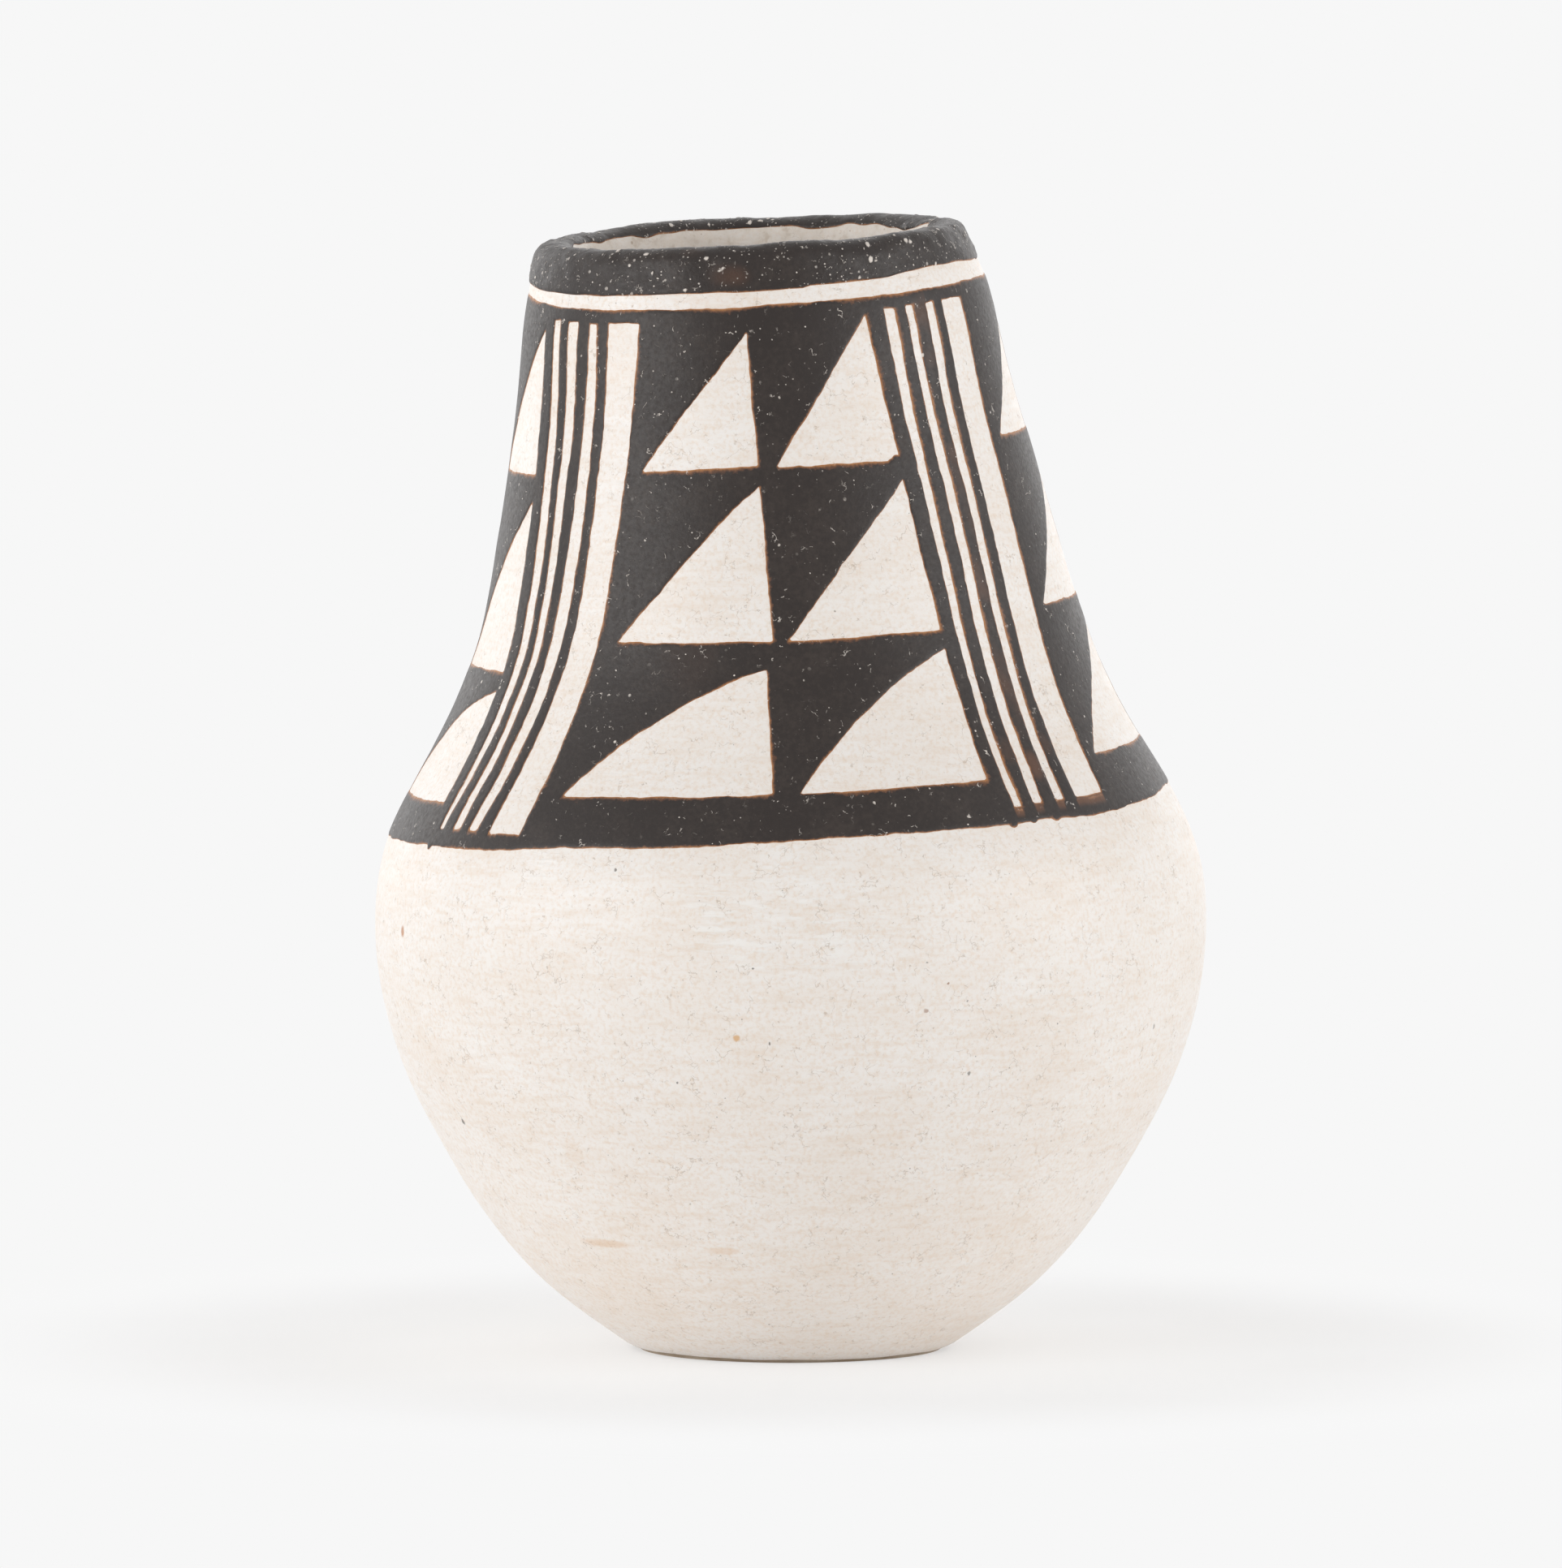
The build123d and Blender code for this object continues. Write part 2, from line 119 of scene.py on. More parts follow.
# White stripes of the bundles: azimuths of both edges of each stripe, at three rises
BUNDLE_RISES = (59.6, 35.4, 12.0)
STRIPES = {
    "front_left": (
        (-59.6, -58.4, -61.8), (-57, -55.7, -60.8), (-53, -53.2, -57.9), (-49.2, -51, -56.2),
        (-45.1, -47.7, -53.6), (-42.6, -44.6, -51.6), (-38.7, -41.9, -48.8), (-29.8, -35.2, -42.2),
    ),
    "front_right": (
        (32.6, 35.4, 37.1), (35.8, 37.2, 38.5), (39.4, 40.6, 41), (41.5, 42.9, 42.8),
        (45.9, 46.2, 45.5), (48.6, 48.3, 47.2), (52.1, 51.6, 50), (60.4, 59.3, 56.7),
    ),
    "back_right": (
        (127, 129, 130.5), (129.6, 130.8, 131.9), (133.5, 134.4, 134.5), (136, 136.2, 136.1),
        (140.2, 139.7, 139), (142.5, 141.6, 140.6), (146.4, 145.2, 143.4), (154.6, 152, 149.8),
    ),
    "back_left": (
        (209.4, 211, 211.6), (212, 213.1, 213.2), (216.1, 216.3, 216), (218.3, 218.3, 217.7),
        (222.4, 221.9, 220.4), (224.9, 223.9, 222), (228.9, 227.4, 224.9), (237.2, 234.4, 231),
    ),
}
STRIPE_ENDS = {  # rises of their feet and tops
    "front_left": ((11.9, 11.95, 11.9, 11.8), (59.7, 59.55, 59.45, 59.4)),
    "front_right": ((12.05, 12.2, 12.2, 12.25), (59.6, 59.7, 59.8, 59.85)),
    "back_right": ((12.1, 12, 12.15, 12), (59.7, 59.6, 59.75, 59.6)),
    "back_left": ((11.9, 12.05, 11.95, 12), (59.5, 59.65, 59.6, 59.7)),
}

# White triangles of the panels, from the lowest row up
PANELS = {
    "front": ("front_left", "front_right"),
    "right": ("front_right", "back_right"),
    "back": ("back_right", "back_left"),
    "left": ("back_left", "front_left"),
}
FRONT_TRIANGLES = (  # left foot, right foot, apex
    ((-36.5, 15.35), (-1, 14.95), (-2.3, 26.55)),
    ((3, 14.9), (34.2, 14.75), (32.7, 27.25)),
    ((-32.1, 29.5), (-1.1, 29.1), (-2.2, 43.85)),
    ((1.9, 29.1), (32.4, 29.05), (30.1, 43.4)),
    ((-28.6, 45.4), (-2.2, 45.65), (-2.7, 58.15)),
    ((2.1, 45.5), (30.4, 45.2), (27.3, 59.2)),
)
PANEL_ROWS = {  # feet and apexes of the other panels' rows, and the middle's shift in degrees
    "right": ((15.9, 30.1, 46.4), (28.2, 44.4, 59.1), 2.5),
    "back": ((15.2, 29.4, 45.6), (27.2, 43.9, 58.9), 0),
    "left": ((14.15, 26.3, 44.9), (24.5, 42.3, 58.7), 0),
}
ROW_BOWS = (1.65, 0.5, 0.3)  # how far each row's hypotenuses are bowed upwards
SIDE_GAP = 1.9  # black between a panel's edge and its outer triangles
MIDDLE_GAP = 1.9
APEX_GAP = 1.4  # times as wide at the apex
STRIPE_STEPS = 60
BLOBS = (  # drops of paint: azimuth, rise and radius
    (36, 10.85, 0.62), (39.8, 11.05, 0.58), (44.2, 10.95, 0.62), (48.6, 11.15, 0.55), (-63.3, 10.25, 0.4),
    (29.6, 45.2, 0.62), (28.2, 45, 0.5),
)
WOBBLES = ((0.09, 4), (0.05, 1.3))  # of the brush: size and wavelength
OUTLINE_SEED = 100
OUTLINE_STEP = 0.4
OUTLINE_MARGIN = (6, 3)  # degrees and millimetres round it that count
EDGE_ROUGHNESS = ((0.05, 0.8, 43), (0.035, 0.4, 44))
FRINGE_LEAST = 0.12
FRINGE_LEFT = 0.18  # more where white lies to the left of the paint
FRINGE_ABOVE = 0.22
FRINGE_BELOW = 0.04
FRINGE_MEAN = 0.8
FRINGE_NOISE = ((0.7, 3, 61),)
FRINGE_LIMITS = (0.02, 0.5)
FACING = (0.3, 1)  # slopes of the edge field where a side begins to face one way, and does
THIN_CLOUDS = ((1, 9, 51),)
THIN_STREAKS = ((1, 2.2, 52),)
CLOUD_STRENGTH = 0.2
CLOUD_RANGE = (0.3, 0.9)
THIN_LINES = ((1, 0.16), (2, 0.4), (3, 0.16))  # of the front right bundle: which, and how thin
LINE_MARGIN = 0.4  # degrees
LINE_STREAKS = (0.45, 0.7)  # mean and size
LINE_MOST = 0.7
THIN_PATCHES = (  # azimuth, rise, half height and strength
    (44.1, 15.6, 1.6, 0.5), (40, 17.2, 1.6, 0.3), (48.4, 17.4, 1.4, 0.3), (43.6, 24, 4, 0.3),
)
THIN_PATCH_WIDTH = 1.2
THIN_FOOT = 1.5  # reach below the white stripes there
FOOT_MARGIN = 0.2
FOOT_STREAKS = (0.85, 0.3)
RIM_FRINGE = (0.1, 0.03, 0.3)  # mean, least and most
RIM_FRINGE_NOISE = ((0.12, 3, 34),)
RIM_THIN = 0.45
RIM_THIN_RANGE = (0.35, 0.9)
RIM_THIN_NOISE = ((1, 5, 35),)
BUNDLE_REACH = 30

# Small marks on the slip: azimuth, rise, radius, how many times as long round as high, colour and
# strength. Grey ones are small pits, whose dark colour is painted shade
TAN = (222, 178, 128)
RUST = (186, 124, 74)
BROWN = (150, 98, 62)
# painted shade: the grey of small pits, which the mesh does not have
PIT_SHADE_GREY = (96, 88, 80)
MARKS = (
    (-68.5, 1.3, 0.46, 0.7, RUST, 0.85), (-62, -18.2, 0.3, 0.8, PIT_SHADE_GREY, 0.85),
    (-7.6, -8, 0.34, 1, TAN, 0.9), (-5.2, -1.2, 0.12, 1, PIT_SHADE_GREY, 0.9),
    (-3, -8.5, 0.12, 0.6, PIT_SHADE_GREY, 0.9), (-24.5, 8.6, 0.16, 0.8, PIT_SHADE_GREY, 0.8),
    (-16.6, -12.5, 0.12, 1, PIT_SHADE_GREY, 0.8), (22, -3, 0.13, 1, BROWN, 0.8),
    (18.9, -5.5, 0.22, 1.2, BROWN, 0.6), (26.3, -11.8, 0.2, 0.6, PIT_SHADE_GREY, 0.7),
    (63, -8.9, 0.2, 0.4, PIT_SHADE_GREY, 0.7), (-38, -29.3, 1.1, 7, TAN, 0.35),
    (-13, -29.5, 0.8, 4, TAN, 0.3), (-37, -20, 1.3, 0.6, TAN, 0.12),
    (112, -6, 0.4, 1, TAN, 0.8), (165, -14, 0.25, 0.7, PIT_SHADE_GREY, 0.8),
    (203, 2, 0.3, 0.6, BROWN, 0.7), (250, -21, 0.9, 5, TAN, 0.3),
)
BURNISH_PATCH = (-2.0, 3.4, 11.0)  # where slip lies in ripples: azimuth, rise and reach

# Meshes
SKIN_COLUMNS = 360
SKIN_STEP = 0.9
LIP_STEP = 0.3
LIP_BELOW = 6.0  # below the crest, where fine steps begin
PAINT_COLUMNS = 900
PAINT_STEP = 0.25
PAINT_LIFT = 0.06
PAINT_LEAST = 0.02
PAINT_SINK = 0.04
PAINT_ROUND = 0.1
RIM_LIFT = 0.12
SLIP_FOOT_GAP = 0.25
SLIP_FOOT_RAGGED = ((0.25, 9.0, 21),)
SLIP_END_RAGGED = ((1.2, 12.0, 22), (0.5, 4.0, 23))
RAGGED_REACH = 4.0
INSIDE_REACH = 2.0  # past the crest, where slip is wholly inside
NORMAL_STEPS = (0.2, 0.1)  # degrees and millimetres
SHARP_ANGLE = 40
GRAIN_CLUSTERS = 170
GRAINS_IN_CLUSTER = 5
GRAIN_SIZES = (0.09, 0.26)
GRAIN_SCATTER = (4, 0.8)  # degrees and millimetres
GRAIN_RARITY = 4  # higher: fewer large ones
GRAIN_SQUASH = (0.7, 1.4)
GRAIN_HEIGHT = 0.4  # times the size
GRAIN_SEED = 71
NOISE_CELLS = 32


# Numbers
def noise(points, wavelength, seed):
    """Smooth noise from -1 to 1 at points in millimetres."""
    lattice = np.random.default_rng(seed).uniform(-1, 1, (NOISE_CELLS,) * 3)
    place = points / wavelength
    cell = np.floor(place).astype(int)
    part = place - cell
    part = part * part * (3 - 2 * part)
    total = np.zeros(points.shape[:-1])
    for corner in itertools.product((0, 1), repeat=3):
        weight = np.prod(np.where(corner, part, 1 - part), axis=-1)
        i, j, k = np.moveaxis((cell + corner) % NOISE_CELLS, -1, 0)
        total += weight * lattice[i, j, k]
    return total


def layered(points, noises):
    """The sum of noises."""
    return sum(size * noise(points, wavelength, seed) for size, wavelength, seed in noises)


def waved(turn, waves):
    """The sum of waves round the jar."""
    return sum(size * np.cos(count * turn + start) for size, count, start in waves)


def ramp(low, high, value):
    """0 below low, 1 above high, and smooth between."""
    share = np.clip((value - low) / (high - low), 0, 1)
    return share * share * (3 - 2 * share)


def turn_from(azimuth, centre):
    """Degrees from a centre, from -180 to 180."""
    return (azimuth - centre + TURN / 2) % TURN - TURN / 2


def round_line(points, azimuth):
    """The rise of a line round the jar at azimuths."""
    places, rises = np.array(points, float).T
    return np.interp(azimuth, places, rises, period=TURN)


def ring_points(azimuth, radius):
    """Points on a level ring, for noise that closes round the jar."""
    turn = np.radians(azimuth)
    return np.stack([radius * np.sin(turn), radius * np.cos(turn), 0 * turn], 1)


# The section of the outer skin, read from the frame
def tree_of(*nodes):
    """The CAD nodes' surfaces, in millimetres, for rays."""
    points, faces = [], []
    for node in nodes:
        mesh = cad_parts[node].data
        start = len(points)
        points += [v.co / MM for v in mesh.vertices]
        faces += [[start + i for i in p.vertices] for p in mesh.polygons]
    return BVHTree.FromPolygons(points, faces)


def leaned(x, rise, share):
    """A place in the plane of the lean, turned by a share of the lean."""
    angle = np.radians(LEAN) * share
    return x * np.cos(angle) - rise * np.sin(angle), x * np.sin(angle) + rise * np.cos(angle)


def section_hit(tree, start, target, share):
    """Where a ray from one (radius, rise) to another first meets the tree."""
    ends = []
    for radius, rise in (start, target):
        x, up = leaned(radius, rise, share)
        ends.append(Vector((x, 0, BELLY_HEIGHT + up)))
    hit = tree.ray_cast(ends[0], (ends[1] - ends[0]).normalized())[0]
    return leaned(hit.x, hit.z - BELLY_HEIGHT, -share)


def read_section():
    """The section from foot over lip to inside: radius, rise and share of the lean."""
    lower = tree_of("lower_slip", "puki_base")
    upper = tree_of("upper_slip", "rim_coil", "neck_coil_3")
    slip_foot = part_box("lower_slip")[0].z / MM
    points = []
    for rise in np.arange(slip_foot / 2 - BELLY_HEIGHT, -BELLY_ROUND, SECTION_STEP):
        points.append((*section_hit(lower, (FAR, rise), (0, rise), 0), 0))
    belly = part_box("belly_slip")[1].x / MM
    end = math.asin(BELLY_ROUND / belly)
    for share in np.linspace(0, 1, BELLY_STEPS):
        angle = (2 * share - 1) * end
        points.append((belly * math.cos(angle), belly * math.sin(angle), share))
    for rise in np.arange(BELLY_ROUND + SECTION_STEP, NECK_END_RISE, SECTION_STEP):
        points.append((*section_hit(upper, (FAR, rise), (0, rise), 1), 1))
    for angle in np.radians(np.linspace(*LIP_ANGLES, LIP_RAYS)):
        start = (LIP_CORE[0] + LIP_REACH * math.cos(angle), LIP_CORE[1] + LIP_REACH * math.sin(angle))
        hit = section_hit(upper, start, LIP_CORE, 1)
        if hit[1] > NECK_END_RISE:
            points.append((*hit, 1))
    for rise in np.arange(INSIDE_TOP_RISE, INSIDE_END_RISE, -SECTION_STEP):
        points.append((*section_hit(upper, (0, rise), (FAR, rise), 1), 1))
    return np.array(points)


def smoothed(values):
    """Values of the section without the facets of the CAD mesh."""
    reach = int(4 * SMOOTHING / SPACING)
    weights = np.exp(-0.5 * (np.arange(-reach, reach + 1) * SPACING / SMOOTHING) ** 2)
    before = 2 * values[0] - values[reach:0:-1]
    after = 2 * values[-1] - values[-2 : -reach - 2 : -1]
    return np.convolve(np.concatenate([before, values, after]), weights / weights.sum(), "valid")


raw_section = read_section()
raw_along = np.concatenate([[0], np.cumsum(np.hypot(*np.diff(raw_section[:, :2], axis=0).T))])
along = np.arange(0, raw_along[-1], SPACING)
section_radius = smoothed(np.interp(along, raw_along, raw_section[:, 0]))
section_rise = smoothed(np.interp(along, raw_along, raw_section[:, 1]))
section_lean = np.interp(along, raw_along, raw_section[:, 2])
crest_index = int(np.argmax(section_rise))
CREST = along[crest_index]
CREST_RISE = section_rise[crest_index]


def outside_at(rise):
    """How far along the section a rise lies outside."""
    return np.interp(rise, section_rise[: crest_index + 1], along[: crest_index + 1])


def inside_at(rise):
    """How far along the section a rise lies inside the mouth."""
    return np.interp(-rise, -section_rise[crest_index:], along[crest_index:])


def radius_at(rise):
    """The outer radius at a rise."""
    return np.interp(outside_at(rise), along, section_radius)


# The surface
def hand_shape(rise):
    """How far aside the hands left the wall at rises, and how much wider."""
    rises, *parts = np.array(HAND_SHAPE, float).T
    steps = np.linspace(-HAND_REACH, HAND_REACH, HAND_STEPS)
    return [np.mean([np.interp(rise + step, rises, part) for step in steps], axis=0) for part in parts]


def hand_shaped(points):
    """Points as the hands left them: out of round, bent, with an uneven lip."""
    rise = points[:, 2] - BELLY_HEIGHT
    across = points[:, 0] + np.where(rise > 0, np.sin(np.radians(LEAN)) * rise, 0)
    radius = np.maximum(np.hypot(across, points[:, 1]), 1e-6)
    turn = np.arctan2(across, -points[:, 1])
    aside, swell = hand_shape(rise)
    swell += layered(points, SWELLS) + ramp(*NECK_WAVE_RISES, rise) * waved(turn, NECK_WAVES)
    for azimuth, dent_rise, round_reach, up_reach, depth in DENTS:
        aside_of_dent = turn_from(np.degrees(turn), azimuth) / round_reach
        swell += depth * np.exp(-(aside_of_dent**2) - ((rise - dent_rise) / up_reach) ** 2)
    swell *= ramp(0, AXIS_REACH, radius)
    wave = waved(turn, CREST_WAVES) + layered(points, CREST_BUMPS)
    wave *= ramp(CREST_RISE - CREST_REACH, CREST_RISE, rise)
    moved = points.copy()
    moved[:, 0] += swell * across / radius + aside
    moved[:, 1] += swell * points[:, 1] / radius
    moved[:, 2] += wave
    return moved


def bare_surface(azimuth, place):
    """Points of the skin at azimuths and places along the section."""
    radius = np.interp(place, along, section_radius)
    rise = np.interp(place, along, section_rise)
    share = np.interp(place, along, section_lean)
    turn = np.radians(azimuth)
    x, up = leaned(radius * np.sin(turn), rise, share)
    return hand_shaped(np.stack([x, -radius * np.cos(turn), BELLY_HEIGHT + up], 1))


def surface(azimuth, place):
    """Points of the finished skin, scraped, and the outward directions."""
    points = bare_surface(azimuth, place)
    round_step = bare_surface(azimuth + NORMAL_STEPS[0], place) - points
    up_step = bare_surface(azimuth, place + NORMAL_STEPS[1]) - points
    outward = np.cross(round_step, up_step)
    outward /= np.maximum(np.linalg.norm(outward, axis=1, keepdims=True), 1e-12)
    relief = layered(points * SCRAPE_STRETCH, SCRAPES) + layered(points, DIMPLES)
    lip = ramp(CREST - LUMPS_BELOW[0], CREST - LUMPS_BELOW[1], place)
    relief += lip * layered(points, LIP_LUMPS)
    return points + outward * relief[:, None], outward


# Pieces
def placed(name, data):
    """A new object in the scene."""
    thing = bpy.data.objects.new(name, data)
    bpy.context.scene.collection.objects.link(thing)
    return thing


def piece(name, node, material, points, faces, attributes):
    """A new piece in place of a CAD node, from points in millimetres."""
    mesh = bpy.data.meshes.new(name)
    mesh.from_pydata((points * MM).tolist(), [], faces)
    for key, values in attributes.items():
        layer = mesh.attributes.new(key, "FLOAT", "POINT")
        layer.data.foreach_set("value", np.asarray(values, np.float32))
    mesh.materials.append(material)
    mesh.shade_smooth()
    mesh.set_sharp_from_angle(angle=math.radians(SHARP_ANGLE))
    thing = placed(name, mesh)
    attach(thing, "root")
    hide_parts(node)


def clay_piece(node, material):
    """A CAD coil as the hands shaped it."""
    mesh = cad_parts[node].data
    points = np.array([v.co for v in mesh.vertices]) / MM
    faces = [list(p.vertices) for p in mesh.polygons]
    piece(node + "_clay", node, material, hand_shaped(points), faces, {})


def skin_piece(node, material, places):
    """A closed coat of slip over rows and columns of places along the section."""
    rows, columns = places.shape
    count = rows * columns
    azimuth = np.tile(np.arange(columns) * TURN / columns, rows)
    outer, outward = surface(azimuth, places.ravel())
    inner = bare_surface(azimuth, places.ravel()) - outward * SLIP
    index = np.arange(count).reshape(rows, columns)
    after = np.roll(index, -1, axis=1)
    front = np.stack([index[:-1], after[:-1], after[1:], index[1:]], 2).reshape(-1, 4)
    back = front[:, ::-1] + count
    foot = np.stack([index[0], index[0] + count, after[0] + count, after[0]], 1)
    top = np.stack([index[-1], after[-1], after[-1] + count, index[-1] + count], 1)
    faces = np.concatenate([front, back, foot, top]).tolist()
    inside = np.tile(ramp(CREST, CREST + INSIDE_REACH, places.ravel()), 2)
    piece(node + "_coat", node, material, np.concatenate([outer, inner]), faces, {"inside": inside})


def even_places(first, last, step):
    """Places from first to last about a step apart."""
    return np.linspace(first, last, max(2, int(round((last - first) / step)) + 1))


def paint_grid(first, last):
    """Azimuths, places along the section, and their points of the skin."""
    azimuth = np.arange(PAINT_COLUMNS) * TURN / PAINT_COLUMNS - TURN / 2
    place = even_places(first, last, PAINT_STEP)
    points, _ = surface(np.tile(azimuth, len(place)), np.repeat(place, PAINT_COLUMNS))
    return azimuth, place, points.reshape(len(place), PAINT_COLUMNS, 3)


def wet_outlines(edge, corners):
    """The wet part of each cell, and the pairs of points that new corners lie between."""
    wet = edge[corners] > 0
    outlines = corners[wet.all(1)].tolist()
    crossings = {}
    for cell in corners[wet.any(1) & ~wet.all(1)]:
        outline = []
        for first, second in zip(cell, np.roll(cell, -1)):
            if edge[first] > 0:
                outline.append(first)
            if (edge[first] > 0) != (edge[second] > 0):
                key = (min(first, second), max(first, second))
                outline.append(crossings.setdefault(key, len(edge) + len(crossings)))
        outlines.append(outline)
    return outlines, np.array(list(crossings), int).reshape(-1, 2)


def open_sides(faces):
    """The edges that belong to one face only, in that face's direction."""
    sides = {}
    for face in faces:
        for first, second in zip(face, face[1:] + face[:1]):
            if not sides.pop((second, first), False):
                sides[first, second] = True
    return sides


def paint_piece(node, material, azimuth, place, fields, keep, lift):
    """A closed coat of paint over kept cells of a grid, where the edge field is positive."""
    rows, columns = fields["edge"].shape
    index = np.arange(rows * columns).reshape(rows, columns)
    after = np.roll(index, -1, axis=1)
    corners = np.stack([index[:-1], after[:-1], after[1:], index[1:]], 2)[keep]
    edge = fields["edge"].ravel()
    faces, ends = wet_outlines(edge, corners)
    share = edge[ends[:, 0]] / (edge[ends[:, 0]] - edge[ends[:, 1]])

    def with_crossings(values, step):
        return np.concatenate([values, values[ends[:, 0]] + share * step])

    def spread(values):
        return with_crossings(values, values[ends[:, 1]] - values[ends[:, 0]])

    all_azimuth = np.tile(azimuth, rows)
    all_azimuth = with_crossings(all_azimuth, turn_from(all_azimuth[ends[:, 1]], all_azimuth[ends[:, 0]]))
    all_place = spread(np.repeat(place, columns))
    used = np.unique(np.concatenate(faces))
    renumber = np.full(len(all_place), -1)
    renumber[used] = np.arange(len(used))
    faces = [renumber[face].tolist() for face in faces]
    values = {key: spread(field.ravel())[used] for key, field in fields.items()}
    points, outward = surface(all_azimuth[used], all_place[used])
    height = PAINT_LEAST + lift * (1 - np.exp(-np.maximum(values["edge"], 0) / PAINT_ROUND))
    height += values.get("grain", 0)
    top = points + outward * height[:, None]
    bottom = points - outward * PAINT_SINK
    count = len(used)
    walls = [[second, first, first + count, second + count] for first, second in open_sides(faces)]
    under = [[i + count for i in reversed(face)] for face in faces]
    doubled = {key: np.tile(value, 2) for key, value in values.items()}
    faces = faces + walls + under
    piece(node + "_brushed", node, material, np.concatenate([top, bottom]), faces, doubled)


# The painted pattern
def stripe_edge(edge, rise):
    """The azimuth of a stripe's edge at rises, on a curve through its three azimuths."""
    return np.polyval(np.polyfit(BUNDLE_RISES, edge, 2), rise)


def brushed(points, seed):
    """A closed outline through (azimuth, rise) points, drawn by an unsteady hand."""
    fine = []
    for (a, low), (b, high) in zip(points, points[1:] + points[:1]):
        length = math.hypot(math.radians(b - a) * radius_at((low + high) / 2), high - low)
        count = max(1, int(length / OUTLINE_STEP))
        fine.extend(np.linspace((a, low), (b, high), count, endpoint=False))
    azimuth, rise = np.array(fine).T
    radius = radius_at(rise)
    flat = np.stack([np.radians(azimuth) * radius, rise, 0 * rise], 1)
    for number, (size, length) in enumerate(WOBBLES):
        azimuth = azimuth + np.degrees(size * noise(flat, length, seed + 2 * number) / radius)
        rise = rise + size * noise(flat, length, seed + 2 * number + 1)
    return azimuth, rise


def bowed(first, second, bow, count=12):
    """Points from one (azimuth, rise) to another, bowed upwards and outwards."""
    share = np.linspace(0, 1, count)
    sag = bow * 4 * share * (1 - share)
    azimuth, rise = np.linspace(first, second, count).T
    run = math.radians(second[0] - first[0]) * radius_at((first[1] + second[1]) / 2)
    climb = second[1] - first[1]
    length = math.hypot(run, climb)
    azimuth += np.degrees(-climb / length * sag / radius_at(rise))
    rise += run / length * sag
    return list(zip(azimuth, rise))


def panel_triangles(name):
    """The corners of a panel's triangles: left foot, right foot and apex."""
    if name == "front":
        return FRONT_TRIANGLES
    before, after = PANELS[name]
    feet, apexes, shift = PANEL_ROWS[name]
    triangles = []
    for foot, apex in zip(feet, apexes):
        gap = math.degrees(SIDE_GAP / radius_at(foot))
        apex_gap = math.degrees(SIDE_GAP / radius_at(apex))
        half = math.degrees(MIDDLE_GAP / 2 / radius_at(foot))
        left = stripe_edge(STRIPES[before][-1], foot)
        right = left + (stripe_edge(STRIPES[after][0], foot) - left) % TURN
        right_apex = left + (stripe_edge(STRIPES[after][0], apex) - left) % TURN
        middle = (left + right) / 2 + shift
        triangles.append(((left + gap, foot), (middle - half, foot), (middle - half * APEX_GAP, apex)))
        triangles.append(((middle + half, foot), (right - gap, foot), (right_apex - apex_gap, apex)))
    return triangles


def white_outlines():
    """The outlines of all that is left white in the painted zone."""
    outlines = []
    for bundle, edges in STRIPES.items():
        for i, (foot, top) in enumerate(zip(*STRIPE_ENDS[bundle])):
            rises = np.linspace(foot, top, STRIPE_STEPS)
            sides = edges[2 * i : 2 * i + 2]
            left, right = (list(zip(stripe_edge(side, rises), rises)) for side in sides)
            outlines.append(left + right[::-1])
    for panel in PANELS:
        for number, (left, right, apex) in enumerate(panel_triangles(panel)):
            outlines.append(bowed(left, apex, ROW_BOWS[number // 2]) + [right])
    return [brushed(outline, OUTLINE_SEED + 4 * number) for number, outline in enumerate(outlines)]


def distance_outside(azimuth, rise, outline):
    """Distance from an outline, positive outside it and negative inside."""
    outline_azimuth, outline_rise = outline
    centre = outline_azimuth.mean()
    x = np.radians(turn_from(azimuth, centre)) * radius_at(rise)
    corner_x = np.radians(outline_azimuth - centre) * radius_at(outline_rise)
    best = np.full(x.shape, np.inf)
    inside = np.zeros(x.shape, bool)
    for ax, az, bx, bz in zip(corner_x, outline_rise, np.roll(corner_x, -1), np.roll(outline_rise, -1)):
        dx, dz = bx - ax, bz - az
        share = np.clip(((x - ax) * dx + (rise - az) * dz) / (dx * dx + dz * dz + 1e-12), 0, 1)
        best = np.minimum(best, (x - ax - share * dx) ** 2 + (rise - az - share * dz) ** 2)
        if az != bz:
            inside ^= ((az > rise) != (bz > rise)) & (x < dx * (rise - az) / dz + ax)
    return np.where(inside, -1, 1) * np.sqrt(best)


def zone_edges(azimuth, rise, points):
    """How far points of the painted zone lie inside the black, negative outside it."""
    all_azimuth, all_rise = np.meshgrid(azimuth, rise)
    top = round_line(BORDER_TOP, azimuth) + layered(ring_points(azimuth, RINGS["border"]), UNSTEADY_BORDER)
    foot = round_line(BAND_FOOT, azimuth) + layered(ring_points(azimuth, RINGS["band"]), UNSTEADY_BAND)
    edge = np.minimum(top - all_rise, all_rise - foot)
    beside, above = OUTLINE_MARGIN
    for outline in white_outlines():
        columns = np.abs(turn_from(azimuth, outline[0].mean())) < np.ptp(outline[0]) / 2 + beside
        rows = (rise > outline[1].min() - above) & (rise < outline[1].max() + above)
        window = np.ix_(rows, columns)
        apart = distance_outside(all_azimuth[window], all_rise[window], outline)
        edge[window] = np.minimum(edge[window], apart)
    for blob_azimuth, blob_rise, blob_radius in BLOBS:
        x = np.radians(turn_from(all_azimuth, blob_azimuth)) * radius_at(blob_rise)
        edge = np.maximum(edge, blob_radius - np.hypot(x, all_rise - blob_rise))
    return edge + layered(points, EDGE_ROUGHNESS)


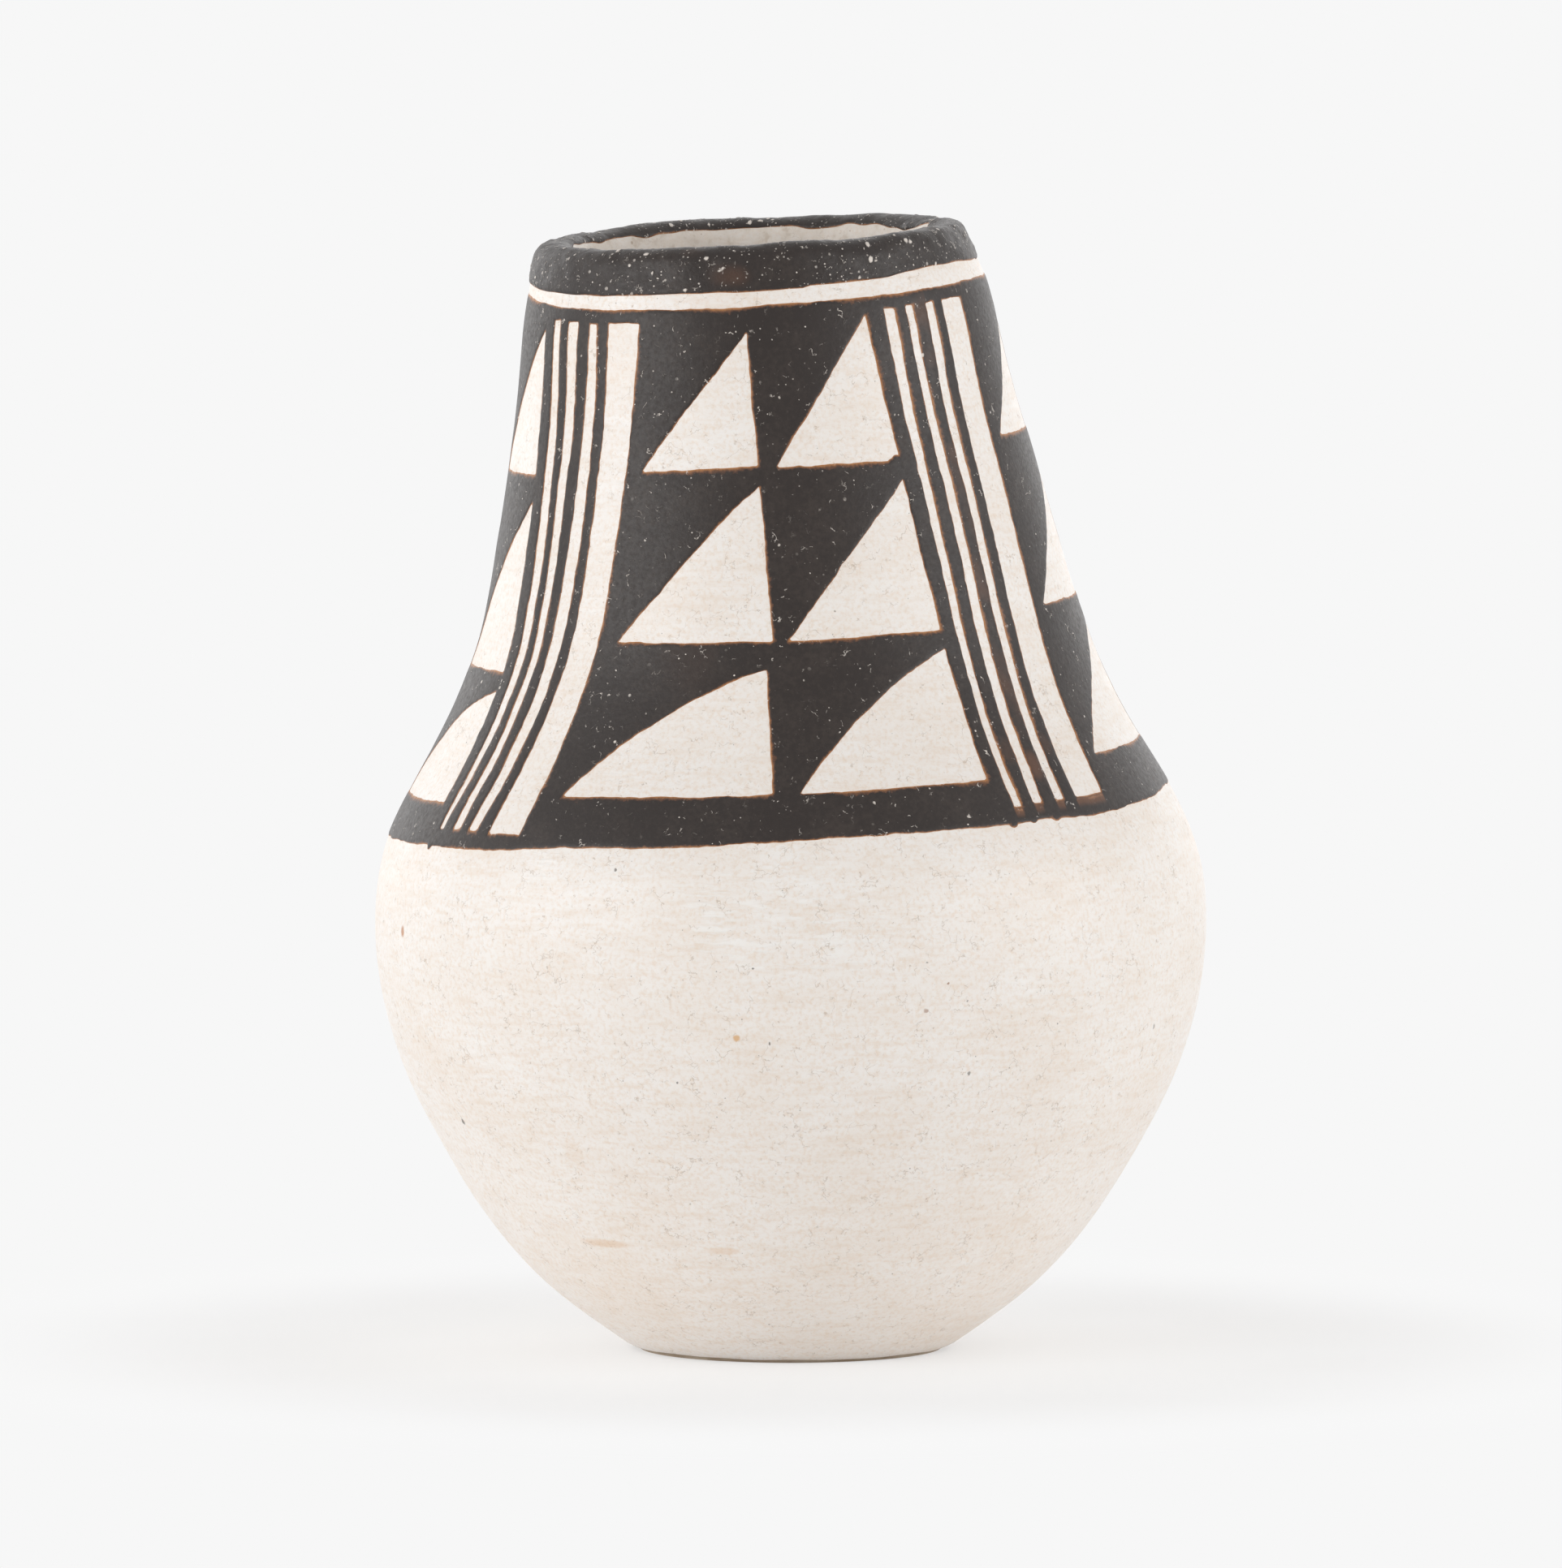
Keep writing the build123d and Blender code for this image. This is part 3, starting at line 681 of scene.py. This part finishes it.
def fringe_widths(edge, azimuth, place, rise, points):
    """How wide the brown fringe is: widest below white and to the right of it."""
    across = np.gradient(edge, axis=1) / (np.radians(TURN / len(azimuth)) * radius_at(rise))[:, None]
    upward = np.gradient(edge, axis=0) / np.gradient(place)[:, None]
    fringe = FRINGE_LEAST + FRINGE_LEFT * ramp(*FACING, across)
    fringe += FRINGE_ABOVE * ramp(*FACING, -upward) + FRINGE_BELOW * ramp(*FACING, upward)
    uneven = FRINGE_MEAN + layered(points, FRINGE_NOISE)
    return np.clip(fringe * uneven, *FRINGE_LIMITS)


def thinness(azimuth, rise, points):
    """How thin the paint was brushed on, from 0 to 1."""
    all_azimuth, all_rise = np.meshgrid(azimuth, rise)
    streaks = layered(points, THIN_STREAKS)
    thin = CLOUD_STRENGTH * ramp(*CLOUD_RANGE, layered(points, THIN_CLOUDS))
    edges = STRIPES["front_right"]
    for i, strength in THIN_LINES:
        left, right = stripe_edge(edges[2 * i - 1], all_rise), stripe_edge(edges[2 * i], all_rise)
        line = (all_azimuth > left - LINE_MARGIN) & (all_azimuth < right + LINE_MARGIN)
        streaked = strength * (LINE_STREAKS[0] + LINE_STREAKS[1] * streaks)
        thin = np.maximum(thin, line * np.clip(streaked, 0, LINE_MOST))
    for patch_azimuth, patch_rise, reach, strength in THIN_PATCHES:
        x = np.radians(turn_from(all_azimuth, patch_azimuth)) * radius_at(patch_rise)
        off = (x / THIN_PATCH_WIDTH) ** 2 + ((all_rise - patch_rise) / reach) ** 2
        thin = np.maximum(thin, strength * np.exp(-off * off))
    for i, foot in enumerate(STRIPE_ENDS["front_right"][0]):
        left, right = stripe_edge(edges[2 * i], all_rise), stripe_edge(edges[2 * i + 1], all_rise)
        under = (all_azimuth > left) & (all_azimuth < right) & (all_rise < foot + FOOT_MARGIN)
        under = under * ramp(foot - THIN_FOOT, foot, all_rise)
        thin = np.maximum(thin, under * (FOOT_STREAKS[0] + FOOT_STREAKS[1] * streaks))
    return thin


def cell_owners(azimuth, rise):
    """The number of each painted cell's panel, or 0 for a bundle."""
    middle = azimuth + TURN / len(azimuth) / 2
    owner = np.zeros((len(rise) - 1, len(azimuth)), int)
    levels = np.clip((rise[:-1] + rise[1:]) / 2, BUNDLE_RISES[-1], BUNDLE_RISES[0])[:, None]
    for number, (before, after) in enumerate(PANELS.values(), 1):
        start = (stripe_edge(STRIPES[before][-2], levels) + stripe_edge(STRIPES[before][-1], levels)) / 2
        stop = (stripe_edge(STRIPES[after][0], levels) + stripe_edge(STRIPES[after][1], levels)) / 2
        owner[(middle - start) % TURN < (stop - start) % TURN] = number
    return owner


def lip_grains(azimuth, place, radius):
    """How high grains of grit stand in the paint of the lip."""
    dice = np.random.default_rng(GRAIN_SEED)
    round_scatter, up_scatter = GRAIN_SCATTER
    height = np.zeros((len(place), len(azimuth)))
    for _ in range(GRAIN_CLUSTERS):
        cluster_azimuth, cluster_place = dice.uniform(0, TURN), dice.uniform(place[0], place[-1])
        for _ in range(GRAINS_IN_CLUSTER):
            x = np.radians(turn_from(azimuth, cluster_azimuth + dice.normal(0, round_scatter))) * radius
            z = place - cluster_place - dice.normal(0, up_scatter)
            size = np.interp(dice.uniform() ** GRAIN_RARITY, (0, 1), GRAIN_SIZES)
            squash = dice.uniform(*GRAIN_SQUASH)
            off = (x[None, :] * squash) ** 2 + (z[:, None] / squash) ** 2
            height = np.maximum(height, GRAIN_HEIGHT * size * np.exp(-((off / size**2) ** 2)))
    return height


# Materials
def new_material(name):
    """A new material, its shader, and the place in millimetres."""
    material = bpy.data.materials.new(name)
    material.use_nodes = True
    tree = material.node_tree
    tree.nodes.clear()
    output = tree.nodes.new("ShaderNodeOutputMaterial").inputs["Surface"]
    shader = new_node(output, "BsdfPrincipled")
    connect(output, shader.outputs["BSDF"])
    place = vector_math("SCALE", new_node(output, "TexCoord").outputs["Object"], scale=1 / MM)
    return material, shader, place


def new_node(socket, kind, **inputs):
    """A new node in a socket's tree, with inputs by name."""
    node = socket.id_data.nodes.new("ShaderNode" + kind)
    for name, value in inputs.items():
        connect(node.inputs[name], value)
    return node


def connect(socket, value):
    """Links a socket to another, or sets its value."""
    if isinstance(value, bpy.types.NodeSocket):
        socket.id_data.links.new(value, socket)
    else:
        socket.default_value = value


def vector_math(operation, first, second=None, scale=None):
    """A sum, product or length of vectors."""
    node = new_node(first, "VectorMath")
    node.operation = operation
    connect(node.inputs[0], first)
    if second is not None:
        connect(node.inputs[1], second)
    if scale is not None:
        node.inputs["Scale"].default_value = scale
    return node.outputs["Value" if operation == "LENGTH" else "Vector"]


def calculate(operation, first, second):
    """A sum or the like of two numbers."""
    node = new_node(first, "Math")
    node.operation = operation
    connect(node.inputs[0], first)
    connect(node.inputs[1], second)
    return node.outputs[0]


times = partial(calculate, "MULTIPLY")
plus = partial(calculate, "ADD")
larger = partial(calculate, "MAXIMUM")


def between(value, low, high, to_low=0, to_high=1):
    """A value carried smoothly from one range to another."""
    node = new_node(value, "MapRange")
    node.interpolation_type = "SMOOTHSTEP"
    for socket, setting in zip(node.inputs, (value, low, high, to_low, to_high)):
        connect(socket, setting)
    return node.outputs["Result"]


def cloud(place, wavelength, detail=3, stretch=None):
    """Noise of a wavelength in millimetres, perhaps stretched."""
    if stretch is not None:
        place = vector_math("MULTIPLY", place, stretch)
    node = new_node(place, "TexNoise", Vector=place, Scale=1 / wavelength, Detail=detail, Roughness=0.6)
    return node.outputs["Fac"]


def wander(place, wavelength, size):
    """The place shifted a little, so that a pattern is uneven."""
    node = new_node(place, "TexNoise", Vector=place, Scale=1 / wavelength)
    centred = vector_math("SUBTRACT", node.outputs["Color"], (0.5, 0.5, 0.5))
    return vector_math("ADD", place, vector_math("SCALE", centred, scale=size))


def spots(place, spacing, least, most, share):
    """Uneven spots in a share of the cells of a net: 1 in a spot, 0 outside."""
    uneven = wander(place, spacing / 2, spacing / 5)
    node = new_node(place, "TexVoronoi", Vector=uneven, Scale=1 / spacing)
    parts = new_node(place, "SeparateColor", Color=node.outputs["Color"])
    kept = calculate("LESS_THAN", parts.outputs[0], share)
    size = between(parts.outputs[1], 0.3, 1, least / spacing, most / spacing)
    inner = times(size, 0.5)
    return times(between(node.outputs["Distance"], inner, size, 1, 0), kept)


def cracks(place, spacing, width):
    """A net of hairlines: 1 on a line, 0 elsewhere."""
    uneven = wander(place, spacing / 3, spacing * 0.7)
    node = new_node(place, "TexVoronoi", Vector=uneven, Scale=1 / spacing)
    node.feature = "DISTANCE_TO_EDGE"
    return between(node.outputs["Distance"], 0, width / spacing, 1, 0)


def mix(share, first, second):
    """Colours mixed by a share."""
    node = new_node(share, "Mix")
    node.data_type = "RGBA"
    connect(node.inputs["Factor"], share)
    connect(node.inputs[6], first)
    connect(node.inputs[7], second)
    return node.outputs[2]


def attribute(place, name):
    """A value that the piece's mesh carries."""
    node = new_node(place, "Attribute")
    node.attribute_name = name
    return node.outputs["Fac"]


def bump(shader, height, distance):
    """Fine relief from a height of 0 to 1, where 1 stands for a distance."""
    node = new_node(height, "Bump", Height=height, Distance=distance * MM)
    connect(shader.inputs["Normal"], node.outputs["Normal"])


def dress(shader, base, roughness, gloss):
    """Gives a surface its colour, roughness and gloss."""
    connect(shader.inputs["Base Color"], base)
    connect(shader.inputs["Roughness"], roughness)
    connect(shader.inputs["Specular IOR Level"], gloss)


def colour(red, green, blue):
    """A colour from its screen values, 0 to 255."""
    parts = [value / 255 for value in (red, green, blue)]
    return (*(part / 12.92 if part <= 0.04045 else ((part + 0.055) / 1.055) ** 2.4 for part in parts), 1)


SLIP_WHITE = colour(247, 243, 239)
SLIP_CREAM = colour(240, 230, 220)
SLIP_TAN = colour(228, 205, 181)
SLIP_GREY = colour(226, 215, 202)
INSIDE_STAIN = colour(166, 136, 106)
SLIP_THICK = colour(248, 245, 241)
SPECK = colour(112, 98, 86)
HAIRLINE = colour(176, 155, 134)
PAINT_BLACK = colour(36, 27, 23)
PAINT_GREY = colour(52, 43, 38)
PAINT_BROWN = colour(104, 70, 50)
PAINT_PALE = colour(166, 120, 86)
PAINT_FRINGE = colour(182, 126, 78)
CLAY_BROWN = colour(176, 156, 134)
CLAY_PALE = colour(204, 190, 172)
SLIP_ROUGHNESS = (0.38, 0.55)
SLIP_GLOSS = 0.65
SLIP_RELIEF = 0.06
PAINT_ROUGHNESS = (0.4, 0.56)
PAINT_GLOSS = 0.42
CLAY_ROUGHNESS = (0.75, 0.95)
CLAY_GLOSS = 0.5
CLAY_RELIEF = 0.1


def nearness(place, azimuth, rise, reach, long):
    """1 at a place of the skin, 0 beyond a reach some times as long round as high."""
    centre = surface(np.array([float(azimuth)]), np.array([outside_at(rise)]))[0][0]
    off = vector_math("SUBTRACT", place, tuple(centre))
    off = vector_math("MULTIPLY", off, (1 / long**0.5, 1 / long**0.5, long**0.5))
    return between(vector_math("LENGTH", off), 0.45 * reach, reach, 1, 0)


def slip_colour(place, ripples):
    """The slip's colour: cream clouds, tan streaks, hairlines, specks, stains, and painted shade of small
    pits.
    """
    clouds = between(cloud(place, 7, 5, (0.6, 0.6, 1)), 0.35, 0.75, 0.2, 0.75)
    base = mix(clouds, SLIP_WHITE, SLIP_CREAM)
    streaks = between(cloud(place, 0.7, 4, (0.15, 0.15, 1)), 0.45, 0.75, 0, 0.3)
    base = mix(streaks, base, SLIP_TAN)
    mottle = between(cloud(place, 0.4, 4), 0.42, 0.75, 0, 0.5)
    base = mix(mottle, base, SLIP_TAN)
    base = mix(times(ripples, 0.7), base, SLIP_THICK)
    rough = wander(place, 0.35, 0.12)
    kept = between(cloud(place, 2.2), 0.5, 0.6, 0, 0.5)
    long_lines = times(cracks(rough, 2.6, 0.055), kept)
    kept = between(cloud(place, 0.9), 0.58, 0.66, 0, 0.6)
    short_lines = times(cracks(rough, 1.2, 0.045), kept)
    base = mix(larger(long_lines, short_lines), base, HAIRLINE)
    fine = spots(place, 0.8, 0.04, 0.1, 0.2)
    dark = larger(fine, spots(place, 2.1, 0.06, 0.14, 0.2))
    base = mix(times(dark, 0.6), base, SPECK)
    soft = wander(place, 0.3, 0.25)
    # stains, and grey marks that are painted shade of small pits
    for azimuth, rise, radius, long, stain_and_pit_shade, strength in MARKS:
        share = times(nearness(soft, azimuth, rise, radius * 1.3, long), strength)
        base = mix(share, base, colour(*stain_and_pit_shade))
    dirt = between(cloud(place, 1.3, 4), 0.35, 0.75, 0.35, 1)
    inside = attribute(place, "inside")
    base = mix(times(inside, dirt), base, SLIP_GREY)
    worn = between(dirt, 0.7, 1, 0, 0.4)
    worn = larger(spots(place, 1.1, 0.1, 0.3, 0.35), worn)
    return mix(times(inside, times(worn, 0.6)), base, INSIDE_STAIN)


def slip_material():
    """Burnished white slip."""
    material, shader, place = new_material("white_slip")
    azimuth, rise, reach = BURNISH_PATCH
    patches = between(cloud(place, 16, 2), 0.55, 0.7, 0, 0.6)
    patches = larger(patches, nearness(place, azimuth, rise, reach, 2))
    ridges = between(cloud(place, 0.6, 2, (0.2, 0.2, 1)), 0.48, 0.66)
    ripples = times(ridges, patches)
    streaks = cloud(place, 0.8, 3, (0.14, 0.14, 1))
    grain = cloud(place, 0.5, 4)
    roughness = between(plus(streaks, grain), 0.7, 1.3, *SLIP_ROUGHNESS)
    dress(shader, slip_colour(place, ripples), roughness, SLIP_GLOSS)
    height = plus(times(streaks, 0.5), times(grain, 0.7))
    bump(shader, plus(height, times(ripples, 0.6)), SLIP_RELIEF)
    return material


def paint_material(name, spacing, least, most, share, spread, grit):
    """Matt black paint with a brown fringe, thin places and pale specks."""
    material, shader, place = new_material(name)
    worn = plus(cloud(place, 5, 4), cloud(place, 0.5, 4))
    black = mix(between(worn, 0.85, 1.35), PAINT_BLACK, PAINT_GREY)
    thin = attribute(place, "thin")
    ground = mix(between(thin, 0.1, 0.7, 0, 0.9), black, PAINT_BROWN)
    ground = mix(between(thin, 0.7, 1), ground, PAINT_PALE)
    near = calculate("DIVIDE", attribute(place, "edge"), attribute(place, "fringe"))
    near = times(near, between(cloud(place, 0.4, 3), 0.25, 0.75, 0.6, 1.4))
    ground = mix(between(near, 0.5, 1.3), PAINT_BROWN, ground)
    ground = mix(between(near, 0, 0.7), PAINT_FRINGE, ground)
    gathered = between(cloud(place, 2.6, 3), 0.46, 0.58, spread, 1)
    fine = spots(place, spacing, least, most, share)
    pale = larger(fine, spots(place, 2.6 * spacing, 1.6 * least, 2 * most, share))
    scratches = between(cloud(place, 0.9, 3), 0.57, 0.65)
    scratches = times(cracks(place, 1.6, 0.06), scratches)
    pale = times(larger(pale, scratches), gathered)
    pale = larger(pale, between(attribute(place, "grain"), 0.02, 0.06))
    ground = mix(times(pale, 0.85), ground, SLIP_CREAM)
    grain = cloud(place, 0.45, 4)
    dress(shader, ground, between(grain, 0.3, 0.8, *PAINT_ROUGHNESS), PAINT_GLOSS)
    bump(shader, plus(grain, times(pale, 0.6)), grit)
    return material


def clay_material():
    """Bare fired clay with grit."""
    material, shader, place = new_material("fired_clay")
    base = mix(between(cloud(place, 7, 5), 0.35, 0.7), CLAY_BROWN, CLAY_PALE)
    grit = spots(place, 1.1, 0.06, 0.22, 0.4)
    base = mix(times(grit, 0.6), base, SPECK)
    grain = cloud(place, 0.6, 4)
    wiping = cloud(place, 1.2, 3, (0.15, 0.15, 1))
    dress(shader, base, between(grain, 0.3, 0.8, *CLAY_ROUGHNESS), CLAY_GLOSS)
    bump(shader, plus(plus(grain, grit), wiping), CLAY_RELIEF)
    return material


# The jar
clay = clay_material()
slip = slip_material()
paint = paint_material("black_paint", 0.6, 0.05, 0.12, 0.36, 0.1, 0.035)
gritty_paint = paint_material("gritty_black_paint", 0.4, 0.05, 0.12, 0.6, 0.5, 0.06)


def build_clay():
    """The base, coils and rim."""
    coils = ["puki_base", "belly_coil", "rim_coil"]
    coils += [f"lower_coil_{i}" for i in (1, 2, 3)] + [f"shoulder_coil_{i}" for i in (1, 2)]
    coils += [f"neck_coil_{i}" for i in (1, 2, 3)]
    for coil in coils:
        clay_piece(coil, clay)


def build_slip():
    """The coats of slip, with ragged ends at foot and neck."""
    ring = ring_points(np.arange(SKIN_COLUMNS) * TURN / SKIN_COLUMNS, RINGS["slip"])
    foot = outside_at(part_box("lower_slip")[0].z / MM - BELLY_HEIGHT)
    belly_low, belly_high = outside_at(-BELLY_ROUND), outside_at(BELLY_ROUND)
    end = inside_at(CREST_RISE - INSIDE_SLIP_DROP)
    rows = even_places(foot, belly_low, SKIN_STEP)
    ragged = SLIP_FOOT_GAP + layered(ring, SLIP_FOOT_RAGGED)
    near_foot = 1 - ramp(0, RAGGED_REACH, rows - foot)
    skin_piece("lower_slip", slip, rows[:, None] + ragged * near_foot[:, None])
    rows = even_places(belly_low, belly_high, SKIN_STEP)
    skin_piece("belly_slip", slip, np.tile(rows[:, None], SKIN_COLUMNS))
    lip = CREST - LIP_BELOW
    rows = np.concatenate([even_places(belly_high, lip, SKIN_STEP)[:-1], even_places(lip, end, LIP_STEP)])
    near_end = ramp(end - RAGGED_REACH, end, rows)
    skin_piece("upper_slip", slip, rows[:, None] + layered(ring, SLIP_END_RAGGED) * near_end[:, None])


def build_pattern():
    """The border, band, panels and lines."""
    azimuth, place, points = paint_grid(*outside_at(np.array(PAINTED_RISES)))
    rise = np.interp(place, along, section_rise)
    edge = zone_edges(azimuth, rise, points)
    fields = {
        "edge": edge,
        "fringe": fringe_widths(edge, azimuth, place, rise, points),
        "thin": thinness(azimuth, rise, points),
    }
    owner = cell_owners(azimuth, rise)
    cell_rise = ((rise[:-1] + rise[1:]) / 2)[:, None]
    between_bands = (cell_rise > BAND_TOP) & (cell_rise < BORDER_FOOT)
    parts = {
        "border_paint": np.broadcast_to(cell_rise >= BORDER_FOOT, owner.shape),
        "band_paint": np.broadcast_to(cell_rise <= BAND_TOP, owner.shape),
    }
    for number, panel in enumerate(PANELS, 1):
        parts[f"panel_paint_{panel}"] = (owner == number) & between_bands
    for bundle, edges in STRIPES.items():
        near = np.abs(turn_from(azimuth, np.mean(edges))) < BUNDLE_REACH
        parts[f"line_paint_{bundle}"] = (owner == 0) & near & between_bands
    for node, keep in parts.items():
        paint_piece(node, paint, azimuth, place, fields, keep, PAINT_LIFT)


def build_rim_paint():
    """The gritty black on the lip."""
    azimuth, place, points = paint_grid(outside_at(RIM_RISES[0]), inside_at(RIM_RISES[1]))
    ring = ring_points(azimuth, LIP_CORE[0])
    foot = outside_at(round_line(RIM_FOOT, azimuth) + layered(ring, UNSTEADY_FOOT))
    drop = INSIDE_PAINT_DROP + layered(ring, UNSTEADY_INSIDE)
    edge = np.minimum(place[:, None] - foot, inside_at(CREST_RISE - drop) - place[:, None])
    mean, least, most = RIM_FRINGE
    fields = {
        "edge": edge,
        "fringe": np.clip(mean + layered(points, RIM_FRINGE_NOISE), least, most),
        "thin": RIM_THIN * ramp(*RIM_THIN_RANGE, layered(points, RIM_THIN_NOISE)),
        "grain": lip_grains(azimuth, place, LIP_CORE[0]),
    }
    whole = np.ones((len(place) - 1, PAINT_COLUMNS), bool)
    paint_piece("rim_paint", gritty_paint, azimuth, place, fields, whole, RIM_LIFT)


build_clay()
build_slip()
build_pattern()
build_rim_paint()

# Floor, light and camera
FLOOR_SIZE = 12.0
FLOOR = colour(250, 249, 248)
BACKGROUND = colour(247, 247, 247)
WHITE = colour(255, 255, 255)
FLOOR_ROUGHNESS = 0.9
FLOOR_GLOSS = 0.2
FLOOR_GLOW = (0.5, 1.0)  # share of plain brightness seen by the jar and away from it
GLOW_REACH = (36.0, 100.0)
WORLD_STRENGTH = 0.5
LAMPS = {  # azimuth, elevation and watts
    "left_box": (-62, 6, 6.1),
    "right_box": (70, 7, 5.3),
    "left_back_box": (-135, 12, 1.9),
    "right_back_box": (160, 15, 1.4),
}
LAMP_SIZE = (0.9, 0.7)
LAMP_DISTANCE = 1.0
IMAGE = (1924, 1932)
PIXEL = 0.0783  # millimetres in a pixel of the photo at the jar
BELLY_PIXEL = (974, 1130)  # the middle of the belly in the photo
CAMERA_DISTANCE = 2.7
CAMERA_ELEVATION = 5.0
SENSOR = 36.0


def seen_directly(socket):
    """1 for the camera, mirrors and glass, 0 for light."""
    rays = new_node(socket, "LightPath").outputs
    mirrored = larger(rays["Is Glossy Ray"], rays["Is Transmission Ray"])
    return larger(rays["Is Camera Ray"], mirrored)


def join(output, share, first, second):
    """Leads a mix of two shaders to an output."""
    choice = new_node(output, "MixShader", Fac=share)
    connect(choice.inputs[1], first.outputs[0])
    connect(choice.inputs[2], second.outputs[0])
    connect(output, choice.outputs[0])


def floor():
    """A wide pale floor, also the background; by the jar it takes more shadow."""
    half = FLOOR_SIZE / 2
    mesh = bpy.data.meshes.new("floor")
    corners = [(-half, -half, 0), (half, -half, 0), (half, half, 0), (-half, half, 0)]
    mesh.from_pydata(corners, [], [(0, 1, 2, 3)])
    material, shader, place = new_material("floor")
    cloudy = between(cloud(place, 60.0, 2.0), 0.3, 0.7)
    dress(shader, mix(cloudy, FLOOR, WHITE), FLOOR_ROUGHNESS, FLOOR_GLOSS)
    away = between(vector_math("LENGTH", place), *GLOW_REACH)
    glow = new_node(place, "Emission", Color=mix(away, WHITE, BACKGROUND))
    seen = times(seen_directly(place), between(away, 0.0, 1.0, *FLOOR_GLOW))
    join(material.node_tree.nodes["Material Output"].inputs["Surface"], seen, shader, glow)
    mesh.materials.append(material)
    thing = placed("floor", mesh)


def world_light():
    """Even white light, shown to the camera as the pale background."""
    world = bpy.data.worlds.new("studio")
    bpy.context.scene.world = world
    world.use_nodes = True
    tree = world.node_tree
    tree.nodes.clear()
    output = tree.nodes.new("ShaderNodeOutputWorld").inputs["Surface"]
    light = new_node(output, "Background", Color=WHITE, Strength=WORLD_STRENGTH)
    seen = new_node(output, "Background", Color=BACKGROUND, Strength=1.0)
    join(output, seen_directly(output), light, seen)


def aim(thing, target):
    """Turns a lamp or camera towards a target."""
    thing.rotation_mode = "QUATERNION"
    thing.rotation_quaternion = (target - thing.location).to_track_quat("-Z", "Y")


def soft_boxes():
    """Soft boxes, two on each side."""
    target = Vector((0, 0, BELLY_HEIGHT * MM))
    for name, (azimuth, elevation, watts) in LAMPS.items():
        lamp = bpy.data.lights.new(name, "AREA")
        lamp.shape = "RECTANGLE"
        lamp.size, lamp.size_y = LAMP_SIZE
        lamp.energy = watts
        thing = placed(name, lamp)
        turn, climb = math.radians(azimuth), math.radians(elevation)
        level = Vector((math.sin(turn), -math.cos(turn), 0)) * math.cos(climb)
        thing.location = target + (level + Vector((0, 0, math.sin(climb)))) * LAMP_DISTANCE
        aim(thing, target)


def camera():
    """A long lens, a little above the jar, framed as the photo."""
    data = bpy.data.cameras.new("camera")
    data.sensor_width = SENSOR
    data.lens = SENSOR * CAMERA_DISTANCE / (max(IMAGE) * PIXEL * MM)
    data.clip_end = 50
    thing = placed("camera", data)
    climb = math.radians(CAMERA_ELEVATION)
    right = (IMAGE[0] / 2 - BELLY_PIXEL[0]) * PIXEL
    up = BELLY_HEIGHT + (BELLY_PIXEL[1] - IMAGE[1] / 2) * PIXEL / math.cos(climb)
    target = Vector((right * MM, 0, up * MM))
    thing.location = target + Vector((0, -math.cos(climb), math.sin(climb))) * CAMERA_DISTANCE
    aim(thing, target)
    bpy.context.scene.camera = thing


floor()
world_light()
soft_boxes()
camera()
bpy.context.scene.view_settings.view_transform = "Standard"
